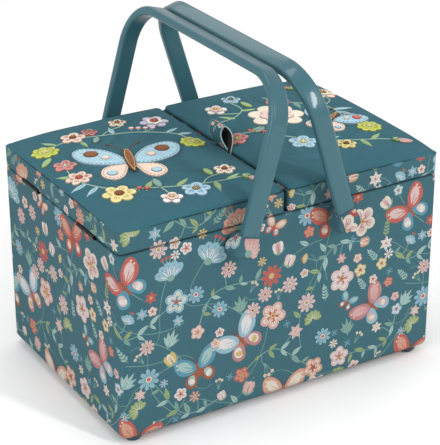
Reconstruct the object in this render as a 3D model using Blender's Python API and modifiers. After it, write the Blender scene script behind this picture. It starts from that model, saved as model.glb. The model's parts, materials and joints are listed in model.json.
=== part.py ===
# Fabric-covered sewing box with two padded lids and two swinging carrying handles.
# Metres, +Z up, front face at -Y, origin on the floor under the middle of the box.

import bpy
import bmesh
from math import asin, atan2, cos, hypot, pi, radians, sin
from mathutils import Matrix, Vector

# Overall sizes of the box
BOX_LENGTH = 0.325
BOX_DEPTH = 0.219
BODY_HEIGHT = 0.1758
FOOT_HEIGHT = 0.007
CORNER_RADIUS = 0.006
BASE_EDGE_RADIUS = 0.005

# Clearance between touching pieces, and how far a cutter runs past its piece
FIT_GAP = 0.0003
CUT_OVERRUN = 0.004

# Wall build-up, from outside to inside
COVER_THICKNESS = 0.0012
BOARD_THICKNESS = 0.006
LINING_THICKNESS = 0.0008
BASE_BOARD_THICKNESS = 0.006
BASE_SHEET_THICKNESS = 0.0009
HEM_WIDTH = 0.028

# Lids
LID_SPLIT_GAP = 0.0036
LID_SEAM_GAP = 0.0024
LID_BAND_HEIGHT = 0.0182
LID_TOP_THICKNESS = 0.004
LID_RIM_THICKNESS = 0.006
LID_INNER_CORNER_RADIUS = 0.003
PAD_CROWN = 0.008
PAD_INSET = 0.0004

# Hinges between each lid and its end of the box
HINGE_LENGTH = 0.031
HINGE_SPACING = 0.107
KNUCKLE_RADIUS = 0.002
HINGE_PIN_RADIUS = 0.0009
LEAF_THICKNESS = 0.00075
LEAF_WIDTH = 0.0079
LEAF_SCREW_SPACING = 0.019
LEAF_SCREW_RADIUS = 0.0009
LEAF_COUNTERSINK_RADIUS = 0.0018

# Handles
HANDLE_PIVOT_SPACING = 0.102
HANDLE_PIVOT_DROP = 0.0105
HANDLE_REACH = 0.1455
HANDLE_STANDOFF = 0.0134
HANDLE_WIDTH = 0.0165
HANDLE_THICKNESS = 0.008
HANDLE_CORNER_RADIUS = 0.044
HANDLE_EDGE_RADIUS = 0.0022
HANDLE_FOOT_DROP = 0.0085
HANDLE_BOSS_RADIUS = 0.0075
HANDLE_BODY_CLEARANCE = 0.0006
HANDLE_MEETING_GAP = 0.0054
HANDLE_MEETING_OFFSET = -0.0016

# Fabric covers over the handle feet
FOOT_COVER_WIDTH = 0.0232
FOOT_COVER_BELOW = 0.0108
FOOT_COVER_ABOVE = 0.0092
FOOT_COVER_SKIN = 0.0012
FOOT_COVER_EDGE_RADIUS = 0.0026

# Rivets that carry the handles, and their washers inside the box
RIVET_RADIUS = 0.0025
RIVET_HEAD_RADIUS = 0.0048
RIVET_HEAD_HEIGHT = 0.002
RIVET_TAIL_HEIGHT = 0.001
WASHER_RADIUS = 0.0085
WASHER_THICKNESS = 0.0012

# Feet and their screws
FOOT_RADIUS = 0.0085
FOOT_DOME_HEIGHT = 0.0039
FOOT_INSET_X = 0.0155
FOOT_INSET_Y = 0.013
FOOT_RECESS_DEPTH = 0.0034
FOOT_SCREW_HEAD_RADIUS = 0.0032
FOOT_SCREW_HEAD_HEIGHT = 0.0018
FOOT_SCREW_RADIUS = 0.0015
FOOT_SCREW_GRIP = 0.0045

# Lift-out tray and the ledges that carry it
TRAY_HEIGHT = 0.034
TRAY_BELOW_RIM = 0.0035
TRAY_CLEARANCE = 0.0009
TRAY_WALL = 0.0022
TRAY_RIM_WIDTH = 0.0015
TRAY_RIM_THICKNESS = 0.002
TRAY_CORNER_RADIUS = 0.006
TRAY_CELL_RADIUS = 0.004
TRAY_BACK_CELLS = 4
TRAY_GRIP_WIDTH = 0.026
TRAY_GRIP_DEPTH = 0.009
LEDGE_WIDTH = 0.009
LEDGE_HEIGHT = 0.012
LEDGE_END_GAP = 0.012

# Pocket inside the left lid and pincushion inside the right lid
POCKET_WIDTH = 0.15
POCKET_REACH = 0.085
POCKET_THICKNESS = 0.0075
POCKET_SKIN = 0.0011
POCKET_SEAM = 0.007
CUSHION_WIDTH = 0.1
CUSHION_REACH = 0.07
CUSHION_THICKNESS = 0.0095
CUSHION_CORNER_RADIUS = 0.012

# Pull loop between the lids
LOOP_WIDTH = 0.0205
LOOP_HEIGHT = 0.022
LOOP_RISE = 0.0028
LOOP_ROOT_DEPTH = 0.0125
LOOP_SPREAD = 0.0045
LOOP_LEAN = 0.0035
LOOP_SKEW = 0.022
LOOP_FRONT = -0.0125
LOOP_THICKNESS = 0.0012

# Shapes given as shares of the sizes above
PAD_RING_SHARES = ((0.004, 0.0), (0.0, 0.14), (0.003, 0.36), (0.016, 0.6), (0.05, 0.78),
                   (0.12, 0.89), (0.28, 0.96), (0.6, 1.0))
CUSHION_RING_SHARES = ((0.02, 0.0), (0.0, 0.2), (0.02, 0.45), (0.12, 0.72), (0.35, 0.92),
                       (0.65, 1.0))
CROWN_ROUNDING_SHARE = 0.5
CORNER_LIMIT_SHARE = 0.9
TRAY_SPLIT_SHARE = 0.4
CELL_FLOOR_RADIUS_SHARE = 0.5

# Fineness of the round shapes
LARGE_ROUND_STEPS = 24
SMALL_ROUND_STEPS = 12
CORNER_STEPS = 4
EDGE_STEPS = 3
DOME_STEPS = 5
LOOP_STEPS = 22
LOOP_ROOT_STEPS = 2
LOOP_SKEW_POWER = 3
MERGE_DISTANCE = 0.00001
SMOOTH_ANGLE = radians(35)
HOOP_RIM_ANGLE = radians(60)
FLAT_ANGLE = radians(1)

# Faces and heights worked out from the sizes above
HALF_LENGTH = BOX_LENGTH / 2
HALF_DEPTH = BOX_DEPTH / 2
BASE_Z = FOOT_HEIGHT
RIM_Z = BASE_Z + BODY_HEIGHT
SEAM_Z = RIM_Z + LID_SEAM_GAP / 2
LID_Z = RIM_Z + LID_SEAM_GAP
BAND_TOP_Z = LID_Z + LID_BAND_HEIGHT
BOARD_INSET = COVER_THICKNESS + FIT_GAP
WALL_INSET = BOARD_INSET + BOARD_THICKNESS
LINING_INSET = WALL_INSET + FIT_GAP
INSIDE_INSET = LINING_INSET + LINING_THICKNESS
INSIDE_X = HALF_LENGTH - INSIDE_INSET
INSIDE_Y = HALF_DEPTH - INSIDE_INSET
BASE_BOARD_Z = BASE_Z + BOARD_INSET
LINING_Z = BASE_BOARD_Z + BASE_BOARD_THICKNESS + FIT_GAP
PIVOT_X = HANDLE_PIVOT_SPACING / 2
PIVOT_Z = RIM_Z - HANDLE_PIVOT_DROP
STRAP_INNER_Y = HALF_DEPTH + HANDLE_STANDOFF
STRAP_OUTER_Y = STRAP_INNER_Y + HANDLE_THICKNESS
WASHER_Y = INSIDE_Y - FIT_GAP
RIVET_TAIL_Y = WASHER_Y - WASHER_THICKNESS - FIT_GAP
FOOT_X = HALF_LENGTH - FOOT_INSET_X
FOOT_Y = HALF_DEPTH - FOOT_INSET_Y
FOOT_SCREW_TOP_Z = BASE_BOARD_Z + FOOT_SCREW_GRIP
LID_RIM_INSET = BOARD_INSET + LID_RIM_THICKNESS
LID_RECESS_Z = BAND_TOP_Z - LID_TOP_THICKNESS
LID_CEILING_Z = LID_RECESS_Z - FIT_GAP - LINING_THICKNESS - FIT_GAP

SIDES = {"left": -1, "right": 1}
FACES = {"front": -1, "back": 1}

# Colours from the photograph: RGB, roughness, metallic
FINISHES = {
    "printed_fabric": ((0.055, 0.17, 0.205), 0.85, 0.0),
    "plain_fabric": ((0.047, 0.15, 0.19), 0.8, 0.0),
    "lining_fabric": ((0.07, 0.2, 0.24), 0.85, 0.0),
    "cushion_fabric": ((0.75, 0.35, 0.3), 0.85, 0.0),
    "handle_plastic": ((0.075, 0.22, 0.25), 0.35, 0.0),
    "tray_plastic": ((0.8, 0.84, 0.84), 0.25, 0.0),
    "foot_plastic": ((0.02, 0.05, 0.06), 0.5, 0.0),
    "fibreboard": ((0.36, 0.26, 0.17), 0.75, 0.0),
    "base_cloth": ((0.03, 0.05, 0.06), 0.9, 0.0),
    "hinge_steel": ((0.09, 0.07, 0.06), 0.4, 1.0),
    "bright_steel": ((0.6, 0.6, 0.6), 0.3, 1.0),
}


# Scene and object helpers

def clear_scene():
    for old in list(bpy.data.objects):
        bpy.data.objects.remove(old)


def new_collection(name):
    collection = bpy.data.collections.new(name)
    bpy.context.scene.collection.children.link(collection)
    return collection


def new_material(name, finish):
    colour, roughness, metallic = FINISHES[finish]
    material = bpy.data.materials.new(name)
    material.use_nodes = True
    shader = material.node_tree.nodes["Principled BSDF"]
    shader.inputs["Base Color"].default_value = (*colour, 1.0)
    shader.inputs["Roughness"].default_value = roughness
    shader.inputs["Metallic"].default_value = metallic
    material.diffuse_color = (*colour, 1.0)
    return material


def to_mesh(name, bm):
    mesh = bpy.data.meshes.new(name)
    bmesh.ops.recalc_face_normals(bm, faces=bm.faces)
    bm.to_mesh(mesh)
    bm.free()
    mesh.shade_smooth()
    mesh.set_sharp_from_angle(angle=SMOOTH_ANGLE)
    return mesh


def add_piece(name, mesh, finish, place=None):
    """Link a part of the box; a mesh that is used again keeps its first material."""
    if not mesh.materials:
        mesh.materials.append(new_material(name + "_finish", finish))
    piece = bpy.data.objects.new(name, mesh)
    if place:
        piece.matrix_world = place
    PARTS.objects.link(piece)
    return piece


def add_cutter(name, bm):
    cutter = bpy.data.objects.new(name, to_mesh(name, bm))
    cutter.hide_render = True
    cutter.display_type = "WIRE"
    CUTTERS.objects.link(cutter)
    return cutter


def combine(piece, other, operation="DIFFERENCE"):
    """Boolean a piece with a cutter, which stays live and hidden."""
    modifier = piece.modifiers.new(other.name, "BOOLEAN")
    modifier.operation = operation
    modifier.solver = "EXACT"
    modifier.object = other


def add_empty(name, location, turn_y=0.0):
    empty = bpy.data.objects.new(name, None)
    empty.location = location
    empty.rotation_euler = (0.0, turn_y, 0.0)
    PARTS.objects.link(empty)
    bpy.context.view_layer.update()
    return empty


def hang_on(piece, empty, keep_place=True):
    """Parent a piece and its own cutters to the empty on its joint's axis."""
    own = [m.object for m in piece.modifiers if m.type == "BOOLEAN" and not m.object.parent]
    for child in [piece] + own:
        child.parent = empty
        if keep_place:
            child.matrix_parent_inverse = empty.matrix_world.inverted()


# Shape helpers

def add_box(bm, low, high):
    """Add a cube primitive between two corners."""
    low, high = Vector(low), Vector(high)
    place = Matrix.Translation((low + high) / 2) @ Matrix.Diagonal((*(high - low), 1.0))
    bmesh.ops.create_cube(bm, size=1.0, matrix=place)


def add_rod(bm, start, end, radius, steps, end_radius=None):
    """Add a capped cylinder, or a cone, between two points."""
    start, end = Vector(start), Vector(end)
    turn = Vector((0, 0, 1)).rotation_difference(end - start).to_matrix().to_4x4()
    bmesh.ops.create_cone(bm, cap_ends=True, segments=steps, radius1=radius,
                          radius2=radius if end_radius is None else end_radius,
                          depth=(end - start).length,
                          matrix=Matrix.Translation((start + end) / 2) @ turn)


def boxes_cutter(name, boxes):
    bm = bmesh.new()
    for low, high in boxes:
        add_box(bm, low, high)
    return add_cutter(name, bm)


def rods_cutter(name, runs, radius, steps=SMALL_ROUND_STEPS):
    bm = bmesh.new()
    for start, end in runs:
        add_rod(bm, start, end, radius, steps)
    return add_cutter(name, bm)


def round_edges(bm, edges, radius, steps):
    if radius > 0:
        bmesh.ops.bevel(bm, geom=edges, offset=radius, segments=steps, profile=0.5,
                        affect="EDGES", clamp_overlap=True)


def is_upright(edge):
    span = edge.verts[0].co - edge.verts[1].co
    return abs(span.x) < MERGE_DISTANCE and abs(span.y) < MERGE_DISTANCE


def is_level_at(edge, height):
    return all(abs(v.co.z - height) < MERGE_DISTANCE for v in edge.verts)


def rounded_box(low, high, radii=(0.0, 0.0), bottom_radius=0.0, steps=CORNER_STEPS):
    """A box with its upright edges rounded at low X and at high X, and its bottom edge too."""
    bm = bmesh.new()
    add_box(bm, low, high)
    middle = (low[0] + high[0]) / 2
    for radius, toward in zip(radii, (-1, 1)):
        upright = [e for e in bm.edges
                   if is_upright(e) and (e.verts[0].co.x - middle) * toward > 0]
        round_edges(bm, upright, radius, steps)
    round_edges(bm, [e for e in bm.edges if is_level_at(e, low[2])], bottom_radius, steps)
    return bm


def rounded_ring(bm, low, high, radii, height):
    """Points of a rectangle with rounded corners, one radius at low X and one at high X."""
    ring = []
    corners = ((high[0], high[1], -1, -1, radii[1]), (low[0], high[1], 1, -1, radii[0]),
               (low[0], low[1], 1, 1, radii[0]), (high[0], low[1], -1, 1, radii[1]))
    for quarter, (x, y, in_x, in_y, radius) in enumerate(corners):
        for i in range(CORNER_STEPS + 1):
            angle = pi / 2 * (quarter + i / CORNER_STEPS)
            ring.append(bm.verts.new((x + in_x * radius + radius * cos(angle),
                                      y + in_y * radius + radius * sin(angle), height)))
    return ring


def crowned_block(low, high, radii, base_z, crown, ring_shares):
    """A stuffed form: rounded rings that draw in as they rise from the base by the crown."""
    bm = bmesh.new()
    half = min(high[0] - low[0], high[1] - low[1]) / 2
    rings = []
    for inset_share, height_share in ring_shares:
        inset = half * inset_share
        rounder = [min(radius + inset * CROWN_ROUNDING_SHARE, (half - inset) * CORNER_LIMIT_SHARE)
                   for radius in radii]
        rings.append(rounded_ring(bm, (low[0] + inset, low[1] + inset),
                                  (high[0] - inset, high[1] - inset), rounder,
                                  base_z + crown * height_share))
    for lower, upper in zip(rings, rings[1:]):
        for i in range(len(lower)):
            bm.faces.new((lower[i - 1], lower[i], upper[i], upper[i - 1]))
    bm.faces.new(rings[0])
    bm.faces.new(rings[-1])
    return bm


def evaluated_mesh(guide):
    """The finished mesh of a guide object, which is then removed."""
    CUTTERS.objects.link(guide)
    bpy.context.view_layer.update()
    graph = bpy.context.evaluated_depsgraph_get()
    mesh = bpy.data.meshes.new_from_object(guide.evaluated_get(graph))
    bpy.data.objects.remove(guide)
    return mesh


def turned_mesh(profile, steps, closed):
    """Revolve an (r, z) outline about Z; a bored piece has a closed outline."""
    outline = bpy.data.meshes.new("turned")
    edges = [(i, i + 1) for i in range(len(profile) - 1)]
    if closed:
        edges.append((len(profile) - 1, 0))
    outline.from_pydata([(r, 0, z) for r, z in profile], edges, [])
    guide = bpy.data.objects.new("turned", outline)
    screw = guide.modifiers.new("screw", "SCREW")
    screw.steps = screw.render_steps = steps
    screw.use_merge_vertices = True
    screw.merge_threshold = MERGE_DISTANCE
    bm = bmesh.new()
    bm.from_mesh(evaluated_mesh(guide))
    return to_mesh("turned", bm)


# Box body

def body_block(inset, z_low, z_high):
    """The rounded outline of the body, moved inwards by an inset."""
    radius = max(CORNER_RADIUS - inset, FIT_GAP)
    return rounded_box((-HALF_LENGTH + inset, -HALF_DEPTH + inset, z_low),
                       (HALF_LENGTH - inset, HALF_DEPTH - inset, z_high), (radius, radius),
                       max(BASE_EDGE_RADIUS - inset, FIT_GAP))


def plain_block(inset, z_low, z_high):
    return rounded_box((-HALF_LENGTH + inset, -HALF_DEPTH + inset, z_low),
                       (HALF_LENGTH - inset, HALF_DEPTH - inset, z_high))


def make_body_cover(holes):
    """Printed fabric wrapped round the walls, folded over the rim and under the base."""
    cover = add_piece("body_cover", to_mesh("body_cover", body_block(0.0, BASE_Z, RIM_Z)),
                      "printed_fabric")
    inside = body_block(COVER_THICKNESS, BASE_Z + COVER_THICKNESS, RIM_Z - COVER_THICKNESS)
    mouth = plain_block(WALL_INSET, SEAM_Z - HEM_WIDTH, RIM_Z + CUT_OVERRUN)
    hem = plain_block(HEM_WIDTH, BASE_Z - CUT_OVERRUN, BASE_Z + CUT_OVERRUN)
    for name, block in (("cover_inside", inside), ("cover_mouth", mouth), ("cover_hem", hem)):
        combine(cover, add_cutter(name, block))
    for cutter in holes:
        combine(cover, cutter)


def make_wall_boards(pivot_holes, hinge_grooves):
    """Fibreboard walls: long front and back boards with the end boards between them."""
    far = HALF_LENGTH + CUT_OVERRUN
    wall_x = HALF_LENGTH - WALL_INSET
    wall_y = HALF_DEPTH - WALL_INSET
    slabs = {
        "front_board": ((-far, -far, 0.0), (far, -wall_y, far + RIM_Z), pivot_holes),
        "back_board": ((-far, wall_y, 0.0), (far, far, far + RIM_Z), pivot_holes),
        "left_end_board": ((-far, -wall_y + FIT_GAP, 0.0), (-wall_x, wall_y - FIT_GAP, far + RIM_Z),
                           hinge_grooves),
        "right_end_board": ((wall_x, -wall_y + FIT_GAP, 0.0), (far, wall_y - FIT_GAP, far + RIM_Z),
                            hinge_grooves),
    }
    for name, (low, high, holes) in slabs.items():
        block = body_block(BOARD_INSET, BASE_BOARD_Z, RIM_Z - BOARD_INSET)
        board = add_piece(name, to_mesh(name, block), "fibreboard")
        combine(board, boxes_cutter(name + "_slab", [(low, high)]), "INTERSECT")
        combine(board, holes)


def make_base(screw_holes):
    """The base board between the walls, and the sheet that closes the hem underneath."""
    block = plain_block(LINING_INSET, BASE_BOARD_Z, BASE_BOARD_Z + BASE_BOARD_THICKNESS)
    combine(add_piece("base_board", to_mesh("base_board", block), "fibreboard"), screw_holes)
    top = BASE_Z + COVER_THICKNESS
    sheet = plain_block(HEM_WIDTH + FIT_GAP, top - BASE_SHEET_THICKNESS, top)
    add_piece("base_sheet", to_mesh("base_sheet", sheet), "base_cloth")


def make_body_lining(pivot_holes):
    """Plain fabric on the inside of the four walls and on the floor."""
    block = plain_block(LINING_INSET, LINING_Z, RIM_Z)
    lining = add_piece("body_lining", to_mesh("body_lining", block), "lining_fabric")
    inside = plain_block(INSIDE_INSET, LINING_Z + LINING_THICKNESS, RIM_Z + CUT_OVERRUN)
    combine(lining, add_cutter("lining_inside", inside))
    combine(lining, pivot_holes)


def foot_mesh():
    """A foot with a flat top, a domed edge and a recess for the screw's head."""
    top = BASE_Z - FIT_GAP
    hole = FOOT_SCREW_RADIUS + FIT_GAP
    recess = FOOT_SCREW_HEAD_RADIUS + FIT_GAP
    tread = FOOT_RADIUS - FOOT_DOME_HEIGHT
    profile = [(hole, top), (FOOT_RADIUS, top)]
    for i in range(DOME_STEPS + 1):
        angle = pi / 2 * i / DOME_STEPS
        profile.append((tread + FOOT_DOME_HEIGHT * cos(angle), FOOT_DOME_HEIGHT * (1 - sin(angle))))
    profile += [(recess, 0.0), (recess, FOOT_RECESS_DEPTH), (hole, FOOT_RECESS_DEPTH)]
    return turned_mesh(profile, LARGE_ROUND_STEPS, True)


def foot_screw_mesh():
    seat = FOOT_RECESS_DEPTH - FIT_GAP
    shank = FOOT_SCREW_RADIUS
    profile = [(0.0, FOOT_SCREW_TOP_Z), (shank, FOOT_SCREW_TOP_Z - shank), (shank, seat),
               (FOOT_SCREW_HEAD_RADIUS, seat), (FOOT_SCREW_HEAD_RADIUS, seat - FOOT_SCREW_HEAD_HEIGHT / 2),
               (shank, seat - FOOT_SCREW_HEAD_HEIGHT), (0.0, seat - FOOT_SCREW_HEAD_HEIGHT)]
    return turned_mesh(profile, SMALL_ROUND_STEPS, False)


def make_feet():
    foot, screw = foot_mesh(), foot_screw_mesh()
    for side, toward_x in SIDES.items():
        for face, toward_y in FACES.items():
            place = Matrix.Translation((toward_x * FOOT_X, toward_y * FOOT_Y, 0.0))
            add_piece(f"{side}_{face}_foot", foot, "foot_plastic", place)
            add_piece(f"{side}_{face}_foot_screw", screw, "bright_steel", place)


# Lift-out tray

def make_ledges():
    """Wooden strips on the front and back walls that the tray stands on."""
    half = INSIDE_X - LEDGE_END_GAP
    top = RIM_Z - TRAY_BELOW_RIM - TRAY_HEIGHT - FIT_GAP
    outer = INSIDE_Y - FIT_GAP
    for face, toward in FACES.items():
        bm = bmesh.new()
        y_low, y_high = sorted((toward * outer, toward * (outer - LEDGE_WIDTH)))
        add_box(bm, (-half, y_low, top - LEDGE_HEIGHT), (half, y_high, top))
        add_piece(f"{face}_tray_ledge", to_mesh(f"{face}_tray_ledge", bm), "fibreboard")


def tray_cells(half_x, half_y, floor_z, top_z):
    """Low and high corners of the compartments: a long one in front and short ones behind."""
    split = -half_y + 2 * half_y * TRAY_SPLIT_SHARE
    yield (-half_x, -half_y, floor_z), (half_x, split - TRAY_WALL / 2, top_z)
    width = (2 * half_x - TRAY_WALL * (TRAY_BACK_CELLS - 1)) / TRAY_BACK_CELLS
    for i in range(TRAY_BACK_CELLS):
        left = -half_x + i * (width + TRAY_WALL)
        yield (left, split + TRAY_WALL / 2, floor_z), (left + width, half_y, top_z)


def make_tray():
    """Moulded tray with a rim, five open compartments and a finger notch at each end."""
    top_z = RIM_Z - TRAY_BELOW_RIM
    base_z = top_z - TRAY_HEIGHT
    rim_x = INSIDE_X - TRAY_CLEARANCE
    rim_y = RIVET_TAIL_Y - RIVET_TAIL_HEIGHT - TRAY_CLEARANCE
    half_x, half_y = rim_x - TRAY_RIM_WIDTH, rim_y - TRAY_RIM_WIDTH
    radii = (TRAY_CORNER_RADIUS, TRAY_CORNER_RADIUS)
    tub = rounded_box((-half_x, -half_y, base_z), (half_x, half_y, top_z), radii,
                      TRAY_CELL_RADIUS * CELL_FLOOR_RADIUS_SHARE)
    tray = add_piece("tray", to_mesh("tray", tub), "tray_plastic")
    rim = rounded_box((-rim_x, -rim_y, top_z - TRAY_RIM_THICKNESS), (rim_x, rim_y, top_z), radii)
    combine(tray, add_cutter("tray_rim", rim), "UNION")
    cells = tray_cells(half_x - TRAY_WALL, half_y - TRAY_WALL, base_z + TRAY_WALL,
                       top_z + CUT_OVERRUN)
    for number, (low, high) in enumerate(cells):
        cell = rounded_box(low, high, (TRAY_CELL_RADIUS, TRAY_CELL_RADIUS),
                           TRAY_CELL_RADIUS * CELL_FLOOR_RADIUS_SHARE, EDGE_STEPS)
        combine(tray, add_cutter(f"tray_cell_{number}", cell))
    grips = [((toward * rim_x - TRAY_GRIP_DEPTH, -TRAY_GRIP_WIDTH / 2, top_z - TRAY_GRIP_DEPTH),
              (toward * rim_x + TRAY_GRIP_DEPTH, TRAY_GRIP_WIDTH / 2, top_z + CUT_OVERRUN))
             for toward in SIDES.values()]
    combine(tray, boxes_cutter("tray_grips", grips))


# Rivets of the handles

def rivet_mesh():
    """A rivet along Z: its head lies in the handle's foot and its tail on the washer."""
    seat = STRAP_OUTER_Y - RIVET_HEAD_HEIGHT
    crown = RIVET_HEAD_RADIUS - RIVET_HEAD_HEIGHT / 2
    profile = [(0.0, STRAP_OUTER_Y), (crown, STRAP_OUTER_Y),
               (RIVET_HEAD_RADIUS, seat + RIVET_HEAD_HEIGHT / 2), (RIVET_HEAD_RADIUS, seat),
               (RIVET_RADIUS, seat), (RIVET_RADIUS, RIVET_TAIL_Y), (RIVET_HEAD_RADIUS, RIVET_TAIL_Y),
               (crown, RIVET_TAIL_Y - RIVET_TAIL_HEIGHT), (0.0, RIVET_TAIL_Y - RIVET_TAIL_HEIGHT)]
    return turned_mesh(profile, LARGE_ROUND_STEPS, False)


def washer_mesh():
    hole = RIVET_RADIUS + FIT_GAP
    inner = WASHER_Y - WASHER_THICKNESS
    profile = [(hole, WASHER_Y), (WASHER_RADIUS, WASHER_Y), (WASHER_RADIUS, inner), (hole, inner)]
    return turned_mesh(profile, LARGE_ROUND_STEPS, True)


def make_rivets():
    rivet, washer = rivet_mesh(), washer_mesh()
    for side, toward_x in SIDES.items():
        for face, toward_y in FACES.items():
            place = (Matrix.Translation((toward_x * PIVOT_X, 0.0, PIVOT_Z))
                     @ Matrix.Rotation(-toward_y * pi / 2, 4, "X"))
            add_piece(f"{side}_{face}_handle_rivet", rivet, "bright_steel", place)
            add_piece(f"{side}_{face}_rivet_washer", washer, "bright_steel", place)


# Hinges

def hinge_span(toward_y):
    """Y where a hinge starts and ends."""
    middle = toward_y * HINGE_SPACING / 2
    return middle - HINGE_LENGTH / 2, middle + HINGE_LENGTH / 2


def grooves_cutter(name, sides):
    """Room for the knuckles in the edges of the box or of a lid."""
    runs = []
    for side in sides:
        for toward_y in FACES.values():
            start, end = hinge_span(toward_y)
            runs.append(((side * HALF_LENGTH, start - FIT_GAP, SEAM_Z),
                         (side * HALF_LENGTH, end + FIT_GAP, SEAM_Z)))
    return rods_cutter(name, runs, KNUCKLE_RADIUS + FIT_GAP, LARGE_ROUND_STEPS)


def knuckle_spans(start, end, of_box):
    """The outer two knuckles belong to the box leaf and the middle one to the lid leaf."""
    third = (end - start) / 3
    first, last = start + third, end - third
    if of_box:
        return [(start, first - FIT_GAP / 2), (last + FIT_GAP / 2, end)]
    return [(first + FIT_GAP / 2, last - FIT_GAP / 2)]


def make_leaf(name, side, toward_y, of_box):
    """A flat leaf with its knuckles, bored for the pin and countersunk for two screws."""
    axis_x = side * HALF_LENGTH
    start, end = hinge_span(toward_y)
    low = RIM_Z + FIT_GAP if of_box else LID_Z - FIT_GAP - LEAF_THICKNESS
    high = low + LEAF_THICKNESS
    x_low, x_high = sorted((axis_x, axis_x - side * LEAF_WIDTH))
    plate = bmesh.new()
    add_box(plate, (x_low, start, low), (x_high, end, high))
    leaf = add_piece(name, to_mesh(name, plate), "hinge_steel")
    runs = []
    for y_low, y_high in knuckle_spans(start, end, not of_box):
        y_low -= CUT_OVERRUN if y_low <= start else FIT_GAP
        y_high += CUT_OVERRUN if y_high >= end else FIT_GAP
        runs.append(((axis_x, y_low, SEAM_Z), (axis_x, y_high, SEAM_Z)))
    combine(leaf, rods_cutter(name + "_relief", runs, KNUCKLE_RADIUS + FIT_GAP, LARGE_ROUND_STEPS))
    for number, (y_low, y_high) in enumerate(knuckle_spans(start, end, of_box)):
        runs = [((axis_x, y_low, SEAM_Z), (axis_x, y_high, SEAM_Z))]
        knuckle = rods_cutter(f"{name}_knuckle_{number}", runs, KNUCKLE_RADIUS, LARGE_ROUND_STEPS)
        combine(leaf, knuckle, "UNION")
    runs = [((axis_x, start - CUT_OVERRUN, SEAM_Z), (axis_x, end + CUT_OVERRUN, SEAM_Z))]
    combine(leaf, rods_cutter(name + "_bore", runs, HINGE_PIN_RADIUS + FIT_GAP))
    combine(leaf, countersinks_cutter(name + "_countersinks", side, (start + end) / 2,
                                      *((low, high) if of_box else (high, low))))
    return leaf


def countersinks_cutter(name, side, middle_y, narrow_z, wide_z):
    """Two conical screw holes, widening from one face of a leaf to the other."""
    x = side * (HALF_LENGTH - (KNUCKLE_RADIUS + LEAF_WIDTH) / 2)
    past = (wide_z - narrow_z) / LEAF_THICKNESS * FIT_GAP
    flare = (LEAF_COUNTERSINK_RADIUS - LEAF_SCREW_RADIUS) * FIT_GAP / LEAF_THICKNESS
    bm = bmesh.new()
    for step in (-0.5, 0.5):
        y = middle_y + step * LEAF_SCREW_SPACING
        add_rod(bm, (x, y, narrow_z - past), (x, y, wide_z + past), LEAF_SCREW_RADIUS - flare,
                SMALL_ROUND_STEPS, LEAF_COUNTERSINK_RADIUS + flare)
    return add_cutter(name, bm)


def make_hinges(lid_name, side, hinge_axis):
    for face, toward_y in FACES.items():
        name = f"{lid_name}_{face}_hinge"
        make_leaf(name + "_box_leaf", side, toward_y, True)
        hang_on(make_leaf(name + "_lid_leaf", side, toward_y, False), hinge_axis)
        start, end = hinge_span(toward_y)
        pin = bmesh.new()
        add_rod(pin, (side * HALF_LENGTH, start, SEAM_Z), (side * HALF_LENGTH, end, SEAM_Z),
                HINGE_PIN_RADIUS, SMALL_ROUND_STEPS)
        add_piece(name + "_pin", to_mesh(name + "_pin", pin), "hinge_steel")


# Lids

def lid_span(side, inset):
    """Low and high X of one lid, moved inwards by an inset."""
    return sorted((side * (HALF_LENGTH - inset), side * (LID_SPLIT_GAP / 2 + inset)))


def lid_radii(side, inset):
    outer = max(CORNER_RADIUS - inset, FIT_GAP)
    inner = max(LID_INNER_CORNER_RADIUS - inset, FIT_GAP)
    return (outer, inner) if side < 0 else (inner, outer)


def lid_block(side, inset, z_low, z_high, rounded):
    x_low, x_high = lid_span(side, inset)
    return rounded_box((x_low, -HALF_DEPTH + inset, z_low), (x_high, HALF_DEPTH - inset, z_high),
                       lid_radii(side, inset) if rounded else (0.0, 0.0))


def make_lid(name, side, hinge_axis):
    """A shallow board with a printed band round it, a padded top and a lining."""
    grooves = grooves_cutter(name + "_grooves", (side,))
    board = lid_block(side, BOARD_INSET, LID_Z + BOARD_INSET, BAND_TOP_Z, True)
    board = add_piece(name + "_board", to_mesh(name + "_board", board), "fibreboard")
    recess = lid_block(side, LID_RIM_INSET, LID_Z - CUT_OVERRUN, LID_RECESS_Z, False)
    combine(board, add_cutter(name + "_recess", recess))
    band = lid_block(side, 0.0, LID_Z, BAND_TOP_Z, True)
    band = add_piece(name + "_band", to_mesh(name + "_band", band), "printed_fabric")
    inside = lid_block(side, COVER_THICKNESS, LID_Z + COVER_THICKNESS, BAND_TOP_Z + CUT_OVERRUN, True)
    combine(band, add_cutter(name + "_band_inside", inside))
    mouth = lid_block(side, LID_RIM_INSET, LID_Z - CUT_OVERRUN, BAND_TOP_Z, False)
    combine(band, add_cutter(name + "_band_mouth", mouth))
    combine(band, grooves)
    combine(board, grooves)
    x_low, x_high = lid_span(side, PAD_INSET)
    pad_y = HALF_DEPTH - PAD_INSET
    pad = crowned_block((x_low, -pad_y), (x_high, pad_y), lid_radii(side, PAD_INSET),
                        BAND_TOP_Z + FIT_GAP, PAD_CROWN, PAD_RING_SHARES)
    pad = add_piece(name + "_pad", to_mesh(name + "_pad", pad), "plain_fabric")
    lining_inset = LID_RIM_INSET + FIT_GAP
    lining = lid_block(side, lining_inset, LID_Z, LID_RECESS_Z - FIT_GAP, False)
    lining = add_piece(name + "_lining", to_mesh(name + "_lining", lining), "lining_fabric")
    inside = lid_block(side, lining_inset + LINING_THICKNESS, LID_Z - CUT_OVERRUN,
                       LID_CEILING_Z + FIT_GAP, False)
    combine(lining, add_cutter(name + "_lining_inside", inside))
    for piece in (board, band, pad, lining):
        hang_on(piece, hinge_axis)


def lid_middle(side):
    return side * (HALF_LENGTH + LID_SPLIT_GAP / 2) / 2


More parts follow.
